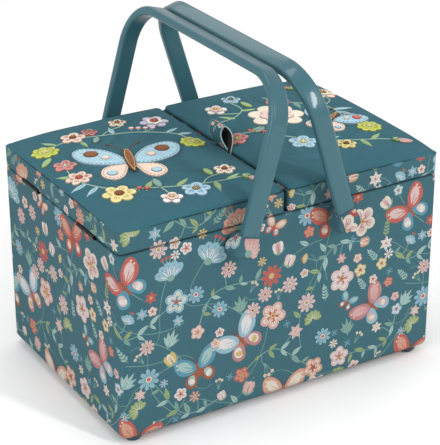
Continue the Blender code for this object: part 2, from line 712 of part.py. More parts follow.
def make_pocket(hinge_axis):
    """A flat pocket on the left lid's lining, open towards the middle of the box."""
    middle = lid_middle(SIDES["left"])
    x_low, x_high = middle - POCKET_REACH / 2, middle + POCKET_REACH / 2
    base_z = LID_CEILING_Z - POCKET_THICKNESS
    radius = POCKET_SEAM / 2
    pocket = rounded_box((x_low, -POCKET_WIDTH / 2, base_z), (x_high, POCKET_WIDTH / 2, LID_CEILING_Z),
                         (radius, radius), POCKET_SKIN)
    pocket = add_piece("left_lid_pocket", to_mesh("left_lid_pocket", pocket), "printed_fabric")
    slot_y = POCKET_WIDTH / 2 - POCKET_SEAM
    slot = ((x_low + POCKET_SEAM, -slot_y, base_z + POCKET_SKIN),
            (x_high + CUT_OVERRUN, slot_y, LID_CEILING_Z - POCKET_SKIN))
    combine(pocket, boxes_cutter("pocket_slot", [slot]))
    hang_on(pocket, hinge_axis)


def make_pincushion(hinge_axis):
    """A stuffed cushion on the right lid's lining, with its crown downwards."""
    middle = lid_middle(SIDES["right"])
    radii = (CUSHION_CORNER_RADIUS, CUSHION_CORNER_RADIUS)
    cushion = crowned_block((middle - CUSHION_REACH / 2, -CUSHION_WIDTH / 2),
                            (middle + CUSHION_REACH / 2, CUSHION_WIDTH / 2), radii,
                            LID_CEILING_Z, -CUSHION_THICKNESS, CUSHION_RING_SHARES)
    cushion = add_piece("right_lid_pincushion", to_mesh("right_lid_pincushion", cushion),
                        "cushion_fabric")
    hang_on(cushion, hinge_axis)


def loop_point(step, across):
    """A point on the strap: up its back end, over the fold and down its front end."""
    fold_steps = LOOP_STEPS - 2 * LOOP_ROOT_STEPS
    turn = pi * min(max((step - LOOP_ROOT_STEPS) / fold_steps, 0.0), 1.0)
    sunk = max(LOOP_ROOT_STEPS - step, step - LOOP_STEPS + LOOP_ROOT_STEPS, 0) / LOOP_ROOT_STEPS
    root_x = LID_SPLIT_GAP / 2 - FIT_GAP - LOOP_THICKNESS / 2
    x = root_x + LOOP_LEAN * sin(turn) - LOOP_SPREAD * sin(2 * turn)
    y = LOOP_FRONT + LOOP_SKEW * ((1 + cos(turn)) / 2) ** LOOP_SKEW_POWER + across * LOOP_WIDTH
    z = BAND_TOP_Z + LOOP_RISE + LOOP_HEIGHT * sin(turn) - LOOP_ROOT_DEPTH * sunk
    return x, y, z


def make_pull_loop(hinge_axis):
    """A folded strap whose two ends are sewn to the inner end of the right lid."""
    bm = bmesh.new()
    bmesh.ops.create_grid(bm, x_segments=LOOP_STEPS, y_segments=1, size=0.5)
    for vertex in bm.verts:
        vertex.co = loop_point(round((vertex.co.x + 0.5) * LOOP_STEPS), vertex.co.y + 0.5)
    loop = add_piece("pull_loop", to_mesh("pull_loop", bm), "printed_fabric")
    solid = loop.modifiers.new("thickness", "SOLIDIFY")
    solid.thickness = LOOP_THICKNESS
    solid.offset = 0.0
    solid.use_even_offset = True
    hang_on(loop, hinge_axis)


# Handles, made upright with the pivot at their origin

def hoop_outline(inset):
    """The hoop's outline in its own plane, from the front foot over to the back foot."""
    far_y = STRAP_OUTER_Y - inset
    top_z = HANDLE_REACH - inset
    radius = HANDLE_CORNER_RADIUS - inset
    points = [(-far_y, -HANDLE_FOOT_DROP)]
    for middle_y, quarter in ((radius - far_y, 2), (far_y - radius, 1)):
        for i in range(SMALL_ROUND_STEPS + 1):
            angle = pi / 2 * (quarter - i / SMALL_ROUND_STEPS)
            points.append((middle_y + radius * cos(angle), top_z - radius + radius * sin(angle)))
    points.append((far_y, -HANDLE_FOOT_DROP))
    return points


def hoop_mesh(name):
    """A flat strap hoop: a 2D curve extruded to the strap's width and turned upright."""
    outline = hoop_outline(0.0) + hoop_outline(HANDLE_THICKNESS)[::-1]
    curve = bpy.data.curves.new(name, "CURVE")
    curve.dimensions = "2D"
    curve.fill_mode = "BOTH"
    curve.extrude = HANDLE_WIDTH / 2
    spline = curve.splines.new("POLY")
    spline.points.add(len(outline) - 1)
    for point, (y, z) in zip(spline.points, outline):
        point.co = (y, z, 0.0, 1.0)
    spline.use_cyclic_u = True
    bm = bmesh.new()
    bm.from_mesh(evaluated_mesh(bpy.data.objects.new(name, curve)))
    bmesh.ops.remove_doubles(bm, verts=bm.verts, dist=MERGE_DISTANCE)
    bmesh.ops.dissolve_limit(bm, angle_limit=FLAT_ANGLE, verts=bm.verts, edges=bm.edges)
    upright = Matrix(((0, 0, 1, 0), (1, 0, 0, 0), (0, 1, 0, 0), (0, 0, 0, 1)))
    bmesh.ops.transform(bm, matrix=upright, verts=bm.verts)
    rims = [e for e in bm.edges if e.calc_face_angle(0.0) > HOOP_RIM_ANGLE
            and abs(e.verts[0].co.x - e.verts[1].co.x) < MERGE_DISTANCE]
    round_edges(bm, rims, HANDLE_EDGE_RADIUS, EDGE_STEPS)
    return to_mesh(name, bm)


def handle_lean(side):
    """Angle from upright at which the two crossbars stand side by side, the meeting gap apart."""
    up = HANDLE_REACH - HANDLE_EDGE_RADIUS
    across = HANDLE_WIDTH / 2 - HANDLE_EDGE_RADIUS
    meeting = HANDLE_MEETING_OFFSET + side * HANDLE_MEETING_GAP / 2
    reach = PIVOT_X - side * meeting - HANDLE_EDGE_RADIUS
    return asin(reach / hypot(up, across)) - atan2(across, up)


def make_handle(name, side):
    """A moulded hoop with a bored boss at each foot, and a fabric cover on each foot."""
    pivot = add_empty(name + "_pivot", (side * PIVOT_X, 0.0, PIVOT_Z), -side * handle_lean(side))
    hoop = add_piece(name, hoop_mesh(name), "handle_plastic")
    boss_y = HALF_DEPTH + HANDLE_BODY_CLEARANCE
    sink_y = STRAP_OUTER_Y - RIVET_HEAD_HEIGHT - FIT_GAP
    end_y = STRAP_OUTER_Y + CUT_OVERRUN
    bosses, bores, sinks = [], [], []
    for toward in FACES.values():
        seat_y = STRAP_INNER_Y + HANDLE_THICKNESS / 2
        bosses.append(((0.0, toward * boss_y, 0.0), (0.0, toward * seat_y, 0.0)))
        bores.append(((0.0, toward * (boss_y - CUT_OVERRUN), 0.0), (0.0, toward * end_y, 0.0)))
        sinks.append(((0.0, toward * sink_y, 0.0), (0.0, toward * end_y, 0.0)))
    combine(hoop, rods_cutter(name + "_bosses", bosses, HANDLE_BOSS_RADIUS, LARGE_ROUND_STEPS), "UNION")
    combine(hoop, rods_cutter(name + "_bores", bores, RIVET_RADIUS + FIT_GAP))
    combine(hoop, rods_cutter(name + "_sinks", sinks, RIVET_HEAD_RADIUS + FIT_GAP, LARGE_ROUND_STEPS))
    hang_on(hoop, pivot, keep_place=False)
    for face, toward in FACES.items():
        hang_on(make_foot_cover(f"{name}_{face}_cover", toward), pivot, keep_place=False)


def make_foot_cover(name, toward):
    """A stuffed fabric cap, open at the top for the strap and inwards for the boss."""
    half = FOOT_COVER_WIDTH / 2
    near = HALF_DEPTH + HANDLE_BODY_CLEARANCE
    far = STRAP_OUTER_Y + FIT_GAP + FOOT_COVER_SKIN
    y_low, y_high = sorted((toward * near, toward * far))
    bm = bmesh.new()
    add_box(bm, (-half, y_low, -FOOT_COVER_BELOW), (half, y_high, FOOT_COVER_ABOVE))
    round_edges(bm, bm.edges[:], FOOT_COVER_EDGE_RADIUS, EDGE_STEPS)
    cover = add_piece(name, to_mesh(name, bm), "printed_fabric")
    slot_x = HANDLE_WIDTH / 2 + FIT_GAP
    y_low, y_high = sorted((toward * (STRAP_INNER_Y - FIT_GAP), toward * (STRAP_OUTER_Y + FIT_GAP)))
    slot = ((-slot_x, y_low, -HANDLE_FOOT_DROP - FIT_GAP),
            (slot_x, y_high, FOOT_COVER_ABOVE + CUT_OVERRUN))
    combine(cover, boxes_cutter(name + "_slot", [slot]))
    run = ((0.0, toward * (near - CUT_OVERRUN), 0.0), (0.0, toward * (STRAP_INNER_Y + FIT_GAP), 0.0))
    combine(cover, rods_cutter(name + "_boss_hole", [run], HANDLE_BOSS_RADIUS + FIT_GAP,
                               LARGE_ROUND_STEPS))
    return cover


def build_body():
    past = HALF_DEPTH + CUT_OVERRUN
    pivot_holes = rods_cutter("pivot_holes", [((x, -past, PIVOT_Z), (x, past, PIVOT_Z))
                                              for x in (-PIVOT_X, PIVOT_X)], RIVET_RADIUS + FIT_GAP)
    hinge_grooves = grooves_cutter("body_grooves", SIDES.values())
    screw_holes = rods_cutter("foot_screw_holes",
                              [((x, y, BASE_Z - CUT_OVERRUN), (x, y, FOOT_SCREW_TOP_Z + FIT_GAP))
                               for x in (-FOOT_X, FOOT_X) for y in (-FOOT_Y, FOOT_Y)],
                              FOOT_SCREW_RADIUS + FIT_GAP)
    make_body_cover((pivot_holes, hinge_grooves, screw_holes))
    make_wall_boards(pivot_holes, hinge_grooves)
    make_base(screw_holes)
    make_body_lining(pivot_holes)
    make_feet()
    make_ledges()
    make_tray()
    make_rivets()


def build_lids():
    for name, side in SIDES.items():
        lid = name + "_lid"
        hinge_axis = add_empty(lid + "_hinge_axis", (side * HALF_LENGTH, 0.0, SEAM_Z))
        make_hinges(lid, side, hinge_axis)
        make_lid(lid, side, hinge_axis)
        if name == "left":
            make_pocket(hinge_axis)
        else:
            make_pincushion(hinge_axis)
            make_pull_loop(hinge_axis)


clear_scene()
PARTS = new_collection("sewing_box")
CUTTERS = new_collection("cutters")
build_body()
build_lids()
for handle_side, handle_toward in SIDES.items():
    make_handle(handle_side + "_handle", handle_toward)
bpy.context.view_layer.update()
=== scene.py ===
import json
import random
from bisect import bisect_right
from math import cos, hypot, pi, radians, sin

import bmesh
import bpy
from mathutils import Matrix, Vector, noise
from mathutils.bvhtree import BVHTree
from mathutils.geometry import delaunay_2d_cdt

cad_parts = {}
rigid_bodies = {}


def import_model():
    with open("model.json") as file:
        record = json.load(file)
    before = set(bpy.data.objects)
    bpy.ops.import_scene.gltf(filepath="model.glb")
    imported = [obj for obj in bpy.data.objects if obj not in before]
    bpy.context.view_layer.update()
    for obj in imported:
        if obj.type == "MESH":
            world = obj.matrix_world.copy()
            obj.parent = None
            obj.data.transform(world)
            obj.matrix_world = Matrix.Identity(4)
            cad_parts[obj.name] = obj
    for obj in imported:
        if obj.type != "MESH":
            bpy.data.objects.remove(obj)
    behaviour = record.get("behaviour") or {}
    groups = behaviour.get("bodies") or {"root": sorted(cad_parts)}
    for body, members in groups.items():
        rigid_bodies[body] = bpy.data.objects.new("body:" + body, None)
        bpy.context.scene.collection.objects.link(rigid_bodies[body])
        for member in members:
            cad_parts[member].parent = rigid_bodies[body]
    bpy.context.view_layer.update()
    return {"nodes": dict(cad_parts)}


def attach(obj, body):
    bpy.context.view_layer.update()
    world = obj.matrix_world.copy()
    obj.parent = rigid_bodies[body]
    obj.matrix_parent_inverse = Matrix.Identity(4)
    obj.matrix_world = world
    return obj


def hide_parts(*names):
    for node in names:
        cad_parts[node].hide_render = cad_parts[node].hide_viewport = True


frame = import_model()
nodes = frame["nodes"]
bpy.ops.object.select_all(action="DESELECT")
mm = 0.001  # the box's own sizes below are in millimetres

box = {"halfLength": 162.5, "halfDepth": 109.5, "low": 7.0, "rim": 182.8, "seam": 184.0, "corner": 6.0,
       "edge": 5.0, "fold": 1.2, "wall": 7.5, "hem": 28.0, "puff": 0.3}
lid = {"low": 185.2, "high": 203.4, "split": 1.8, "inner": 3.0, "puff": 1.0}
pivot = {"x": 51.0, "z": 172.3, "lean": {-1: radians(15.66), 1: radians(17.01)}}
sides = {"left": -1, "right": 1}
faces = {"front": -1, "back": 1}


# points and shares

def polar(reach, angle, x=0.0, y=0.0):
    return x + reach * cos(angle), y + reach * sin(angle)


def angles(count, start=0.0):  # evenly round a circle
    return [2 * pi * k / count + start for k in range(count)]


def quarter(steps):  # the angles of a rounded edge
    return [pi / 2 * k / steps for k in range(steps + 1)]


def placed(points, x, y, turn):  # turned, then moved
    c, s = cos(turn), sin(turn)
    return [(x + a * c - b * s, y + a * s + b * c) for a, b in points]


def leftTurning(points):
    area = sum(p[0] * q[1] - q[0] * p[1] for p, q in zip(points, points[1:] + points[:1]))
    return points if area > 0 else points[::-1]


def fade(amount):
    return 2.718 ** -amount


def eased(share):  # starts and ends level
    return share * share * (3 - 2 * share)


def between(value, low, high):
    return min(max(value, low), high)


def bands(rows, sides, start=0):  # the faces between rings of points
    return [[start + r * sides + k, start + r * sides + (k + 1) % sides, start + (r + 1) * sides + (k + 1) % sides,
             start + (r + 1) * sides + k] for r in range(rows) for k in range(sides)]


# camera, light and floor

cameraView = {"azimuth": radians(-31.192), "elevation": radians(25.566), "distance": 1.5325,
              "target": (0.00051, 0.00097, 0.1293), "lens": 135.08}
daylight = {"strength": 0.8, "colour": (1.0, 1.0, 1.0)}
lamps = {
    "left_softbox": {"place": (-1.95, -0.4, 0.9), "size": (1.3, 1.3), "power": 18.5},
    "front_softbox": {"place": (1.1, -1.7, 0.9), "size": (1.2, 0.9), "power": 0.6},
    "strip_light": {"place": (0.57, -1.9, 1.32), "size": (0.2, 1.25), "power": 22.5},
    "top_softbox": {"place": (-0.15, 0.2, 1.8), "size": (1.0, 0.5), "power": 6.0},
    "right_softbox": {"place": (1.85, -0.25, 0.5), "size": (0.5, 0.9), "power": 5.0},
    "rim_strip": {"place": (0.5, 1.3, 1.2), "size": (1.0, 0.25), "power": 1.2},
}


def linked(name, data):  # a new object in the scene
    thing = bpy.data.objects.new(name, data)
    bpy.context.scene.collection.objects.link(thing)
    return thing


def makeStage():
    scene = bpy.context.scene
    azimuth, elevation = cameraView["azimuth"], cameraView["elevation"]
    back = Vector((sin(azimuth) * cos(elevation), -cos(azimuth) * cos(elevation), sin(elevation)))
    camera = linked("camera", bpy.data.cameras.new("camera"))
    camera.data.lens = cameraView["lens"]
    camera.location = Vector(cameraView["target"]) + back * cameraView["distance"]
    camera.rotation_mode = "QUATERNION"
    camera.rotation_quaternion = (-back).to_track_quat("-Z", "Y")
    scene.camera = camera
    scene.world = bpy.data.worlds.new("studio")
    scene.world.use_nodes = True
    background = scene.world.node_tree.nodes["Background"]
    background.inputs["Color"].default_value = (*daylight["colour"], 1.0)
    background.inputs["Strength"].default_value = daylight["strength"]
    for name, facts in lamps.items():
        lamp = linked(name, bpy.data.lights.new(name, "AREA"))
        lamp.data.shape = "ELLIPSE"
        lamp.data.size, lamp.data.size_y = facts["size"]
        lamp.data.energy = facts["power"]
        lamp.location = facts["place"]
        aim = Vector((0.0, 0.0, 0.12)) - lamp.location
        lamp.rotation_euler = aim.to_track_quat("-Z", "Y").to_euler()
    bpy.ops.mesh.primitive_plane_add(size=9.0, location=(0.0, 0.0, 0.0))
    floor = bpy.context.object
    floor.name = "studio_floor"
    Finish("floor", "floor_paint", (0.87, 0.87, 0.87), 0.9)
    floor.data.materials.append(finishes["floor"])
    scene.view_settings.view_transform = "Standard"
    print("stage: camera, studio light and floor")


# shader maths

class Wire:  # a shader value that plus and times work on
    def __init__(self, tree, socket):
        self.tree, self.socket = tree, socket

    def maths(self, operation, *values):
        node = self.tree.nodes.new("ShaderNodeMath")
        node.operation = operation
        for slot, value in zip(node.inputs, values):
            plug(self.tree, slot, value)
        return Wire(self.tree, node.outputs[0])

    def __add__(self, other):
        return self.maths("ADD", self, other)

    def __mul__(self, other):
        return self.maths("MULTIPLY", self, other)

    __radd__, __rmul__ = __add__, __mul__

    def wave(self):
        return self.maths("SINE", self)


def plug(tree, slot, value):
    if isinstance(value, Wire):
        tree.links.new(value.socket, slot)
    else:
        slot.default_value = value


def tint(red, green, blue):  # a colour as seen on a screen, 0 to 255, as light
    return tuple(((c / 255 + 0.055) / 1.055) ** 2.4 if c > 10 else c / 3294.6 for c in (red, green, blue))


finishes = {}


class Finish:  # a material on the Principled shader
    def __init__(self, key, name, colour, roughness, **fixed):
        finishes[key] = material = bpy.data.materials.new(name)
        material.use_nodes = True
        material.diffuse_color = (*colour, 1.0)
        self.tree = material.node_tree
        self.shader = self.tree.nodes["Principled BSDF"]
        self.set("Base Color", (*colour, 1.0))
        self.set("Roughness", roughness)
        for socket, value in fixed.items():
            self.set(socket.replace("_", " "), value)

    def set(self, socket, value):
        plug(self.tree, self.shader.inputs[socket], value)

    def node(self, kind, settings, values, output=0):
        node = self.tree.nodes.new(kind)
        for key, value in settings.items():
            setattr(node, key, value)
        for key, value in values.items():
            plug(self.tree, node.inputs[key], value)
        return Wire(self.tree, node.outputs[output])

    def place(self):
        return self.node("ShaderNodeTexCoord", {}, {}, "Object")

    def painted(self, name):  # the colours that a mesh carries
        return self.node("ShaderNodeAttribute", {"attribute_name": name}, {})

    def noise(self, scale, detail=2.0):
        return self.node("ShaderNodeTexNoise", {}, {"Vector": self.place(), "Scale": scale, "Detail": detail})

    def colour(self, factor, first, second, blend="MIX"):
        self.set("Base Color", self.node("ShaderNodeMix", {"data_type": "RGBA", "blend_type": blend},
                                         {"Factor": factor, 6: first, 7: second}, 2))

    def shade(self, ground, light):  # the ground made lighter and darker by a number
        grey = self.node("ShaderNodeCombineColor", {}, dict.fromkeys(range(3), light))
        self.colour(1.0, ground, grey, "MULTIPLY")

    def blend(self, factor, first, second):  # between two screen colours
        self.colour(factor, (*tint(*first), 1.0), (*tint(*second), 1.0))

    def bump(self, height, distance):
        self.set("Normal", self.node("ShaderNodeBump", {}, {"Height": height, "Distance": distance, "Strength": 1.0}))


cloth = {"teal": tint(56, 96, 106), "thread": 0.75, "threadBump": 0.00011, "roughness": 0.82}


def weave(finish, pitch):  # crossed threads seen on a face that looks along X, Y or Z
    split = finish.tree.nodes.new("ShaderNodeSeparateXYZ")
    plug(finish.tree, split.inputs[0], finish.place())
    a, b, c = ((Wire(finish.tree, socket) * (2 * pi / (pitch * mm))).wave() for socket in split.outputs)
    return a * b + b * c + c * a


def makeCloth(key, name, colour, sheen=0.02, pitch=cloth["thread"], blotch=0.06):
    finish = Finish(key, name, colour, cloth["roughness"], Sheen_Weight=sheen, Sheen_Roughness=0.5,
                    Specular_IOR_Level=0.18)
    threads = weave(finish, pitch)
    soft, fine = finish.noise(38.0, 3.0), finish.noise(900.0, 1.0)
    light = soft * (2 * blotch) + fine * 0.2 + threads * 0.03 + (1.0 - blotch - 0.1)
    finish.shade(finish.painted("print") if key == "print" else (*colour, 1.0), light)
    finish.set("Roughness", fine * 0.12 + (cloth["roughness"] - 0.06))
    finish.bump(threads + soft * 3.0 + fine * 1.2, cloth["threadBump"])


def makeFinishes():
    makeCloth("print", "printed_cloth", cloth["teal"])
    makeCloth("plain", "plain_cloth", tint(51, 99, 111), blotch=0.09)
    makeCloth("lining", "lining_cloth", tint(78, 122, 132))
    makeCloth("piping", "piping_cloth", tint(120, 140, 142), blotch=0.03)
    makeCloth("edging", "edging_cloth", tint(62, 100, 110), blotch=0.03)
    makeCloth("cushion", "cushion_cloth", tint(206, 112, 98))
    makeCloth("base", "base_cloth", tint(44, 54, 58), sheen=0.0, pitch=1.4)
    plastic = Finish("handle", "handle_plastic", tint(56, 102, 113), 0.3, Specular_IOR_Level=0.22,
                     Coat_Weight=0.3, Coat_Roughness=0.06)
    cloud, scuff = plastic.noise(24.0, 3.0), plastic.noise(420.0)
    plastic.blend(cloud, (46, 89, 98), (54, 94, 104))
    plastic.set("Roughness", cloud * 0.1 + scuff * 0.08 + 0.27)
    plastic.bump(cloud * 2.0 + scuff * 0.3, 0.00012)
    for name, rough, sheen, fuzz in (("felt", 0.95, 0.12, 0.0004), ("thread", 0.6, 0.08, 0.00005)):
        yarn = Finish(name, name + "_wool", tint(200, 190, 170), rough, Sheen_Weight=sheen,
                      Specular_IOR_Level=0.15)
        hairs = yarn.noise(750.0, 4.0)
        yarn.shade(yarn.painted("yarn"), hairs * 0.42 + yarn.noise(150.0, 3.0) * 0.26 + 0.62)
        yarn.bump(hairs, fuzz)
    foot = Finish("foot", "foot_plastic", tint(34, 58, 66), 0.42)
    foot.set("Roughness", foot.noise(300.0) * 0.2 + 0.34)
    foot.bump(foot.noise(700.0), 0.00008)
    tray = Finish("tray", "tray_plastic", tint(226, 232, 230), 0.28)
    tray.set("Roughness", tray.noise(60.0) * 0.05 + 0.3)
    tray.bump(tray.noise(900.0), 0.000008)
    bronze = Finish("hinge", "hinge_steel", tint(44, 41, 40), 0.4, Metallic=0.9)
    worn = bronze.noise(500.0, 3.0)
    bronze.blend(worn, (16, 16, 17), (58, 56, 54))
    bronze.set("Roughness", worn * 0.25 + 0.3)
    steel = Finish("steel", "plated_steel", tint(186, 188, 190), 0.3, Metallic=1.0)
    steel.set("Roughness", steel.noise(300.0, 3.0) * 0.2 + 0.2)
    board = Finish("board", "fibreboard", tint(168, 142, 112), 0.8)
    chips = board.noise(260.0, 5.0)
    board.blend(chips, (140, 112, 84), (192, 166, 134))
    board.bump(chips, 0.0002)
    wood = Finish("wood", "ledge_wood", tint(204, 172, 128), 0.55)
    grain = wood.node("ShaderNodeTexWave", {"bands_direction": "Z"}, {"Vector": wood.place(), "Scale": 90.0,
                      "Distortion": 4.0, "Detail": 3.0, "Detail Scale": 0.6}, 1)
    wood.blend(grain, (190, 152, 106), (216, 186, 142))
    wood.bump(grain, 0.0001)
    print("finishes made:", len(finishes) - 1)


# the flower print, drawn in millimetres on one tile that repeats over the cloth

inks = {
    "teal": (56, 96, 106), "coral": (172, 88, 78), "red": (154, 74, 68), "pink": (190, 152, 148),
    "rose": (166, 116, 116), "blush": (194, 172, 168), "cream": (200, 192, 178), "white": (202, 198, 194),
    "sky": (132, 166, 178), "blue": (82, 134, 152), "deepBlue": (56, 106, 128), "yellow": (184, 162, 102),
    "mustard": (164, 134, 80), "lime": (134, 152, 104), "sage": (118, 150, 140), "mint": (146, 172, 168),
    "stem": (110, 144, 136), "leafLine": (80, 120, 114), "rust": (142, 84, 60), "peach": (188, 142, 122),
    "plum": (98, 62, 68),
}
printTile = {"wide": 238.0, "high": 206.0, "seed": 7, "sprays": (3, 3), "grow": 1.22, "tendrils": 19,
             "tries": 160}


class Sketch:  # coloured outlines, the later ones on top
    def __init__(self):
        self.shapes, self.spots = [], []
        self.move(0.0, 0.0)

    def move(self, x, y, turn=0.0):
        self.place = x, y, turn

    def fill(self, ink, outline):
        self.shapes.append((ink, leftTurning(placed(outline, *self.place))))

    def oval(self, ink, x, y, long, wide, turn=0.0, steps=10, point=0.0):
        ring = [(long * cos(a), wide * sin(a) * (1 - point * cos(a))) for a in angles(steps)]
        self.fill(ink, placed(ring, x, y, turn))

    def dot(self, ink, radius, x=0.0, y=0.0):
        self.oval(ink, x, y, radius, radius, 0.0, 7)

    def stroke(self, ink, path, wide, tip=0.5):
        left, right = [], []
        for k, (x, y) in enumerate(path):
            before, after = path[max(k - 1, 0)], path[min(k + 1, len(path) - 1)]
            dx, dy = after[0] - before[0], after[1] - before[1]
            half = wide / 2 * (1 + (tip - 1) * k / (len(path) - 1)) / max(hypot(dx, dy), 1e-6)
            left.append((x - dy * half, y + dx * half))
            right.append((x + dy * half, y - dx * half))
        self.fill(ink, left + right[::-1])

    def ray(self, ink, near, far, angle, wide):
        self.stroke(ink, [polar(near, angle), polar(far, angle)], wide)

    def leaf(self, ink, vein, x, y, long, wide, turn):
        edge = [(long * share, wide * sin(pi * share ** 0.8) / 2) for share in (k / 6 for k in range(6))]
        self.fill(ink, placed(edge + [(long, 0.0)] + [(a, -b) for a, b in edge[:0:-1]], x, y, turn))
        if vein:
            self.stroke(vein, [polar(a, turn, x, y) for a in (0.0, long * 0.5, long * 0.86)], wide * 0.11 + 0.12, 0.3)


def rounded(outline, times=2):  # an outline with its corners cut off, again and again
    for _ in range(times):
        outline = [(a[0] + (b[0] - a[0]) * share, a[1] + (b[1] - a[1]) * share)
                   for a, b in zip(outline, outline[1:] + outline[:1]) for share in (0.25, 0.75)]
    return outline


def openFlower(s, r, petal, heart, line, eye):  # rounded petals with a paler heart and stamens
    for a in angles(5):
        s.oval(petal, *polar(0.56 * r, a), 0.46 * r, 0.42 * r, a)
    for a in angles(5):
        s.oval(heart, *polar(0.5 * r, a), 0.32 * r, 0.27 * r, a, 9)
        s.oval(line, *polar(0.3 * r, a), 0.2 * r, 0.1 * r, a, 7)
        for b in (-0.28, 0.0, 0.28) if r > 6 else (0.0,):
            s.ray(line, 0.2 * r, 0.72 * r, a + b, 0.05 * r + 0.1)
    s.dot(eye, 0.2 * r)
    if r > 5:
        for a in angles(7, 0.3):
            s.dot("cream", 0.05 * r, *polar(0.31 * r, a))
        s.dot("rust", 0.09 * r)


def daisy(s, r, petal, heart, line, eye):  # many narrow petals
    for a in angles(9 if r > 5 else 7):
        s.oval(petal, *polar(0.62 * r, a), 0.4 * r, 0.19 * r, a, 8, -0.3)
        if r > 5:
            s.ray(line, 0.3 * r, 0.82 * r, a, 0.07 * r)
    s.dot(heart, 0.3 * r)
    s.dot(eye, 0.19 * r)


def starFlower(s, r, petal, heart, line, eye):  # pointed petals
    for a in angles(6):
        s.leaf(petal, line, 0.0, 0.0, r, 0.5 * r, a)
    s.dot(heart, 0.24 * r)
    s.dot(eye, 0.12 * r)


def fanFlower(s, r, petal, heart, line, eye):  # seen from its side, with stamens
    for k in (-1, 0, 1):
        tip = polar(1.25 * r, pi / 2 + 0.2 * k)
        s.stroke("stem", [(0.0, 0.0), (tip[0] * 0.6 + k * 0.3, tip[1] * 0.6), tip], 0.09 * r)
        s.dot(eye, 0.1 * r, *tip)
    for k in (-2, 2, -1, 1, 0):
        a = pi / 2 + 0.5 * k
        s.oval(petal, 0.55 * r * cos(a), 0.5 * r * sin(a), 0.5 * r, 0.26 * r, a, 9, -0.2)
        s.oval(heart, 0.42 * r * cos(a), 0.38 * r * sin(a), 0.3 * r, 0.1 * r, a, 7)
        s.stroke(line, [polar(0.2 * r, a), (0.88 * r * cos(a), 0.82 * r * sin(a))], 0.05 * r)
    s.oval("sage", 0.0, -0.05 * r, 0.24 * r, 0.2 * r, 0.0, 8)


def tulip(s, r, petal, heart, line, eye):  # a closed bud on two small leaves
    s.leaf("sage", "leafLine", 0.0, -0.6 * r, 0.9 * r, 0.3 * r, 0.6)
    s.leaf("lime", None, 0.0, -0.6 * r, 0.8 * r, 0.26 * r, 2.5)
    for k in (-1, 1):
        s.oval(petal, k * 0.24 * r, 0.12 * r, 0.62 * r, 0.34 * r, pi / 2 - 0.25 * k)
    s.oval(heart, 0.0, 0.1 * r, 0.66 * r, 0.28 * r, pi / 2)
    for k in (-1, 0, 1):
        s.stroke(line, [(0.05 * r * k, -0.35 * r), (0.12 * r * k, 0.45 * r)], 0.07 * r)
    s.oval("sage", 0.0, -0.5 * r, 0.16 * r, 0.24 * r, pi / 2, 8)


def clover(s, r, ink, *_):  # a lobed leaf
    lobes = [0.9 * (k - 3) * 0.62 + pi / 2 for k in range(7)]
    for a in lobes:
        s.oval("lime" if ink != "sky" else "sage", *polar(0.55 * r, a), 0.44 * r, 0.27 * r, a, 9)
    for a in lobes:
        s.ray("cream", 0.1 * r, 0.75 * r, a, 0.06 * r)


wings = {
    "lower": ((0.0, -0.05), (0.3, 0.0), (0.66, -0.18), (0.77, -0.48), (0.6, -0.77), (0.28, -0.78), (0.1, -0.42)),
    "upper": ((0.0, 0.06), (0.14, 0.5), (0.5, 0.84), (0.9, 0.95), (1.06, 0.68), (0.98, 0.26), (0.74, 0.0),
              (0.34, -0.1)),
    "patch": ((0.1, 0.12), (0.3, 0.5), (0.56, 0.72), (0.84, 0.74), (0.86, 0.44), (0.64, 0.15), (0.32, 0.04)),
    "frill": ((0.2, -0.18), (0.44, -0.12), (0.6, -0.28), (0.62, -0.5), (0.48, -0.64), (0.3, -0.6)),
}


def butterfly(s, r, upper, patch, lower, spot):
    for k in (-1, 1):
        for shape, shade in (("lower", lower), ("frill", patch), ("upper", upper), ("patch", patch)):
            s.fill(shade, rounded([(x * r * k, y * r) for x, y in wings[shape]]))
        for a, b in ((0.3, 0.62), (0.62, 0.6), (0.95, 0.5)):
            s.stroke(upper, [(0.1 * r * k, 0.1 * r), (b * r * k * cos(a) * 1.2, b * r * sin(a) * 1.25)], 0.05 * r)
        s.oval(spot, 0.42 * r * k, -0.42 * r, 0.17 * r, 0.12 * r, 0.7 * k, 8)
        s.dot("cream", 0.05 * r, 0.88 * r * k, 0.7 * r)
        s.dot("cream", 0.045 * r, 0.9 * r * k, 0.5 * r)
        s.stroke("plum", [(0.0, 0.3 * r), (0.1 * r * k, 0.6 * r), (0.24 * r * k, 0.72 * r)], 0.045 * r)
    s.oval("rust", 0.0, -0.05 * r, 0.42 * r, 0.075 * r, pi / 2)


def frond(s, r, ink, *_):  # broad leaves from one foot
    leaf = {"sky": ("mint", "sage"), "blue": ("mint", "leafLine"), "coral": ("lime", "leafLine")}
    for k in (-2, 2, -1, 1, 0):
        s.leaf(*leaf.get(ink, ("sage", "leafLine")), 0.08 * r * k, -r + 0.12 * abs(k), r * (1.7 - 0.22 * abs(k)),
               0.4 * r, pi / 2 + 0.42 * k)
    s.stroke("stem", [(0.0, -1.2 * r), (0.0, -0.5 * r)], 0.12 * r)


def spark(s, r, *_):
    for k in range(8):
        s.ray("blue" if k % 2 else "sky", 0.12 * r, r, pi * k / 4, 0.16 * r)


def berries(s, r, *_):
    for k, lean in ((-1, 0.5), (0, 0.0), (1, -0.45)):
        x, y = 1.1 * r * sin(-lean), (0.85 + 0.2 * (k == 0)) * r
        s.stroke("stem", [(0.0, -0.7 * r), (x * 0.5, 0.1 * r), (x, y)], 0.12 * r)
        s.dot("cream", 0.24 * r, x, y)
        s.dot("yellow", 0.12 * r, x * 0.97, y * 0.97)


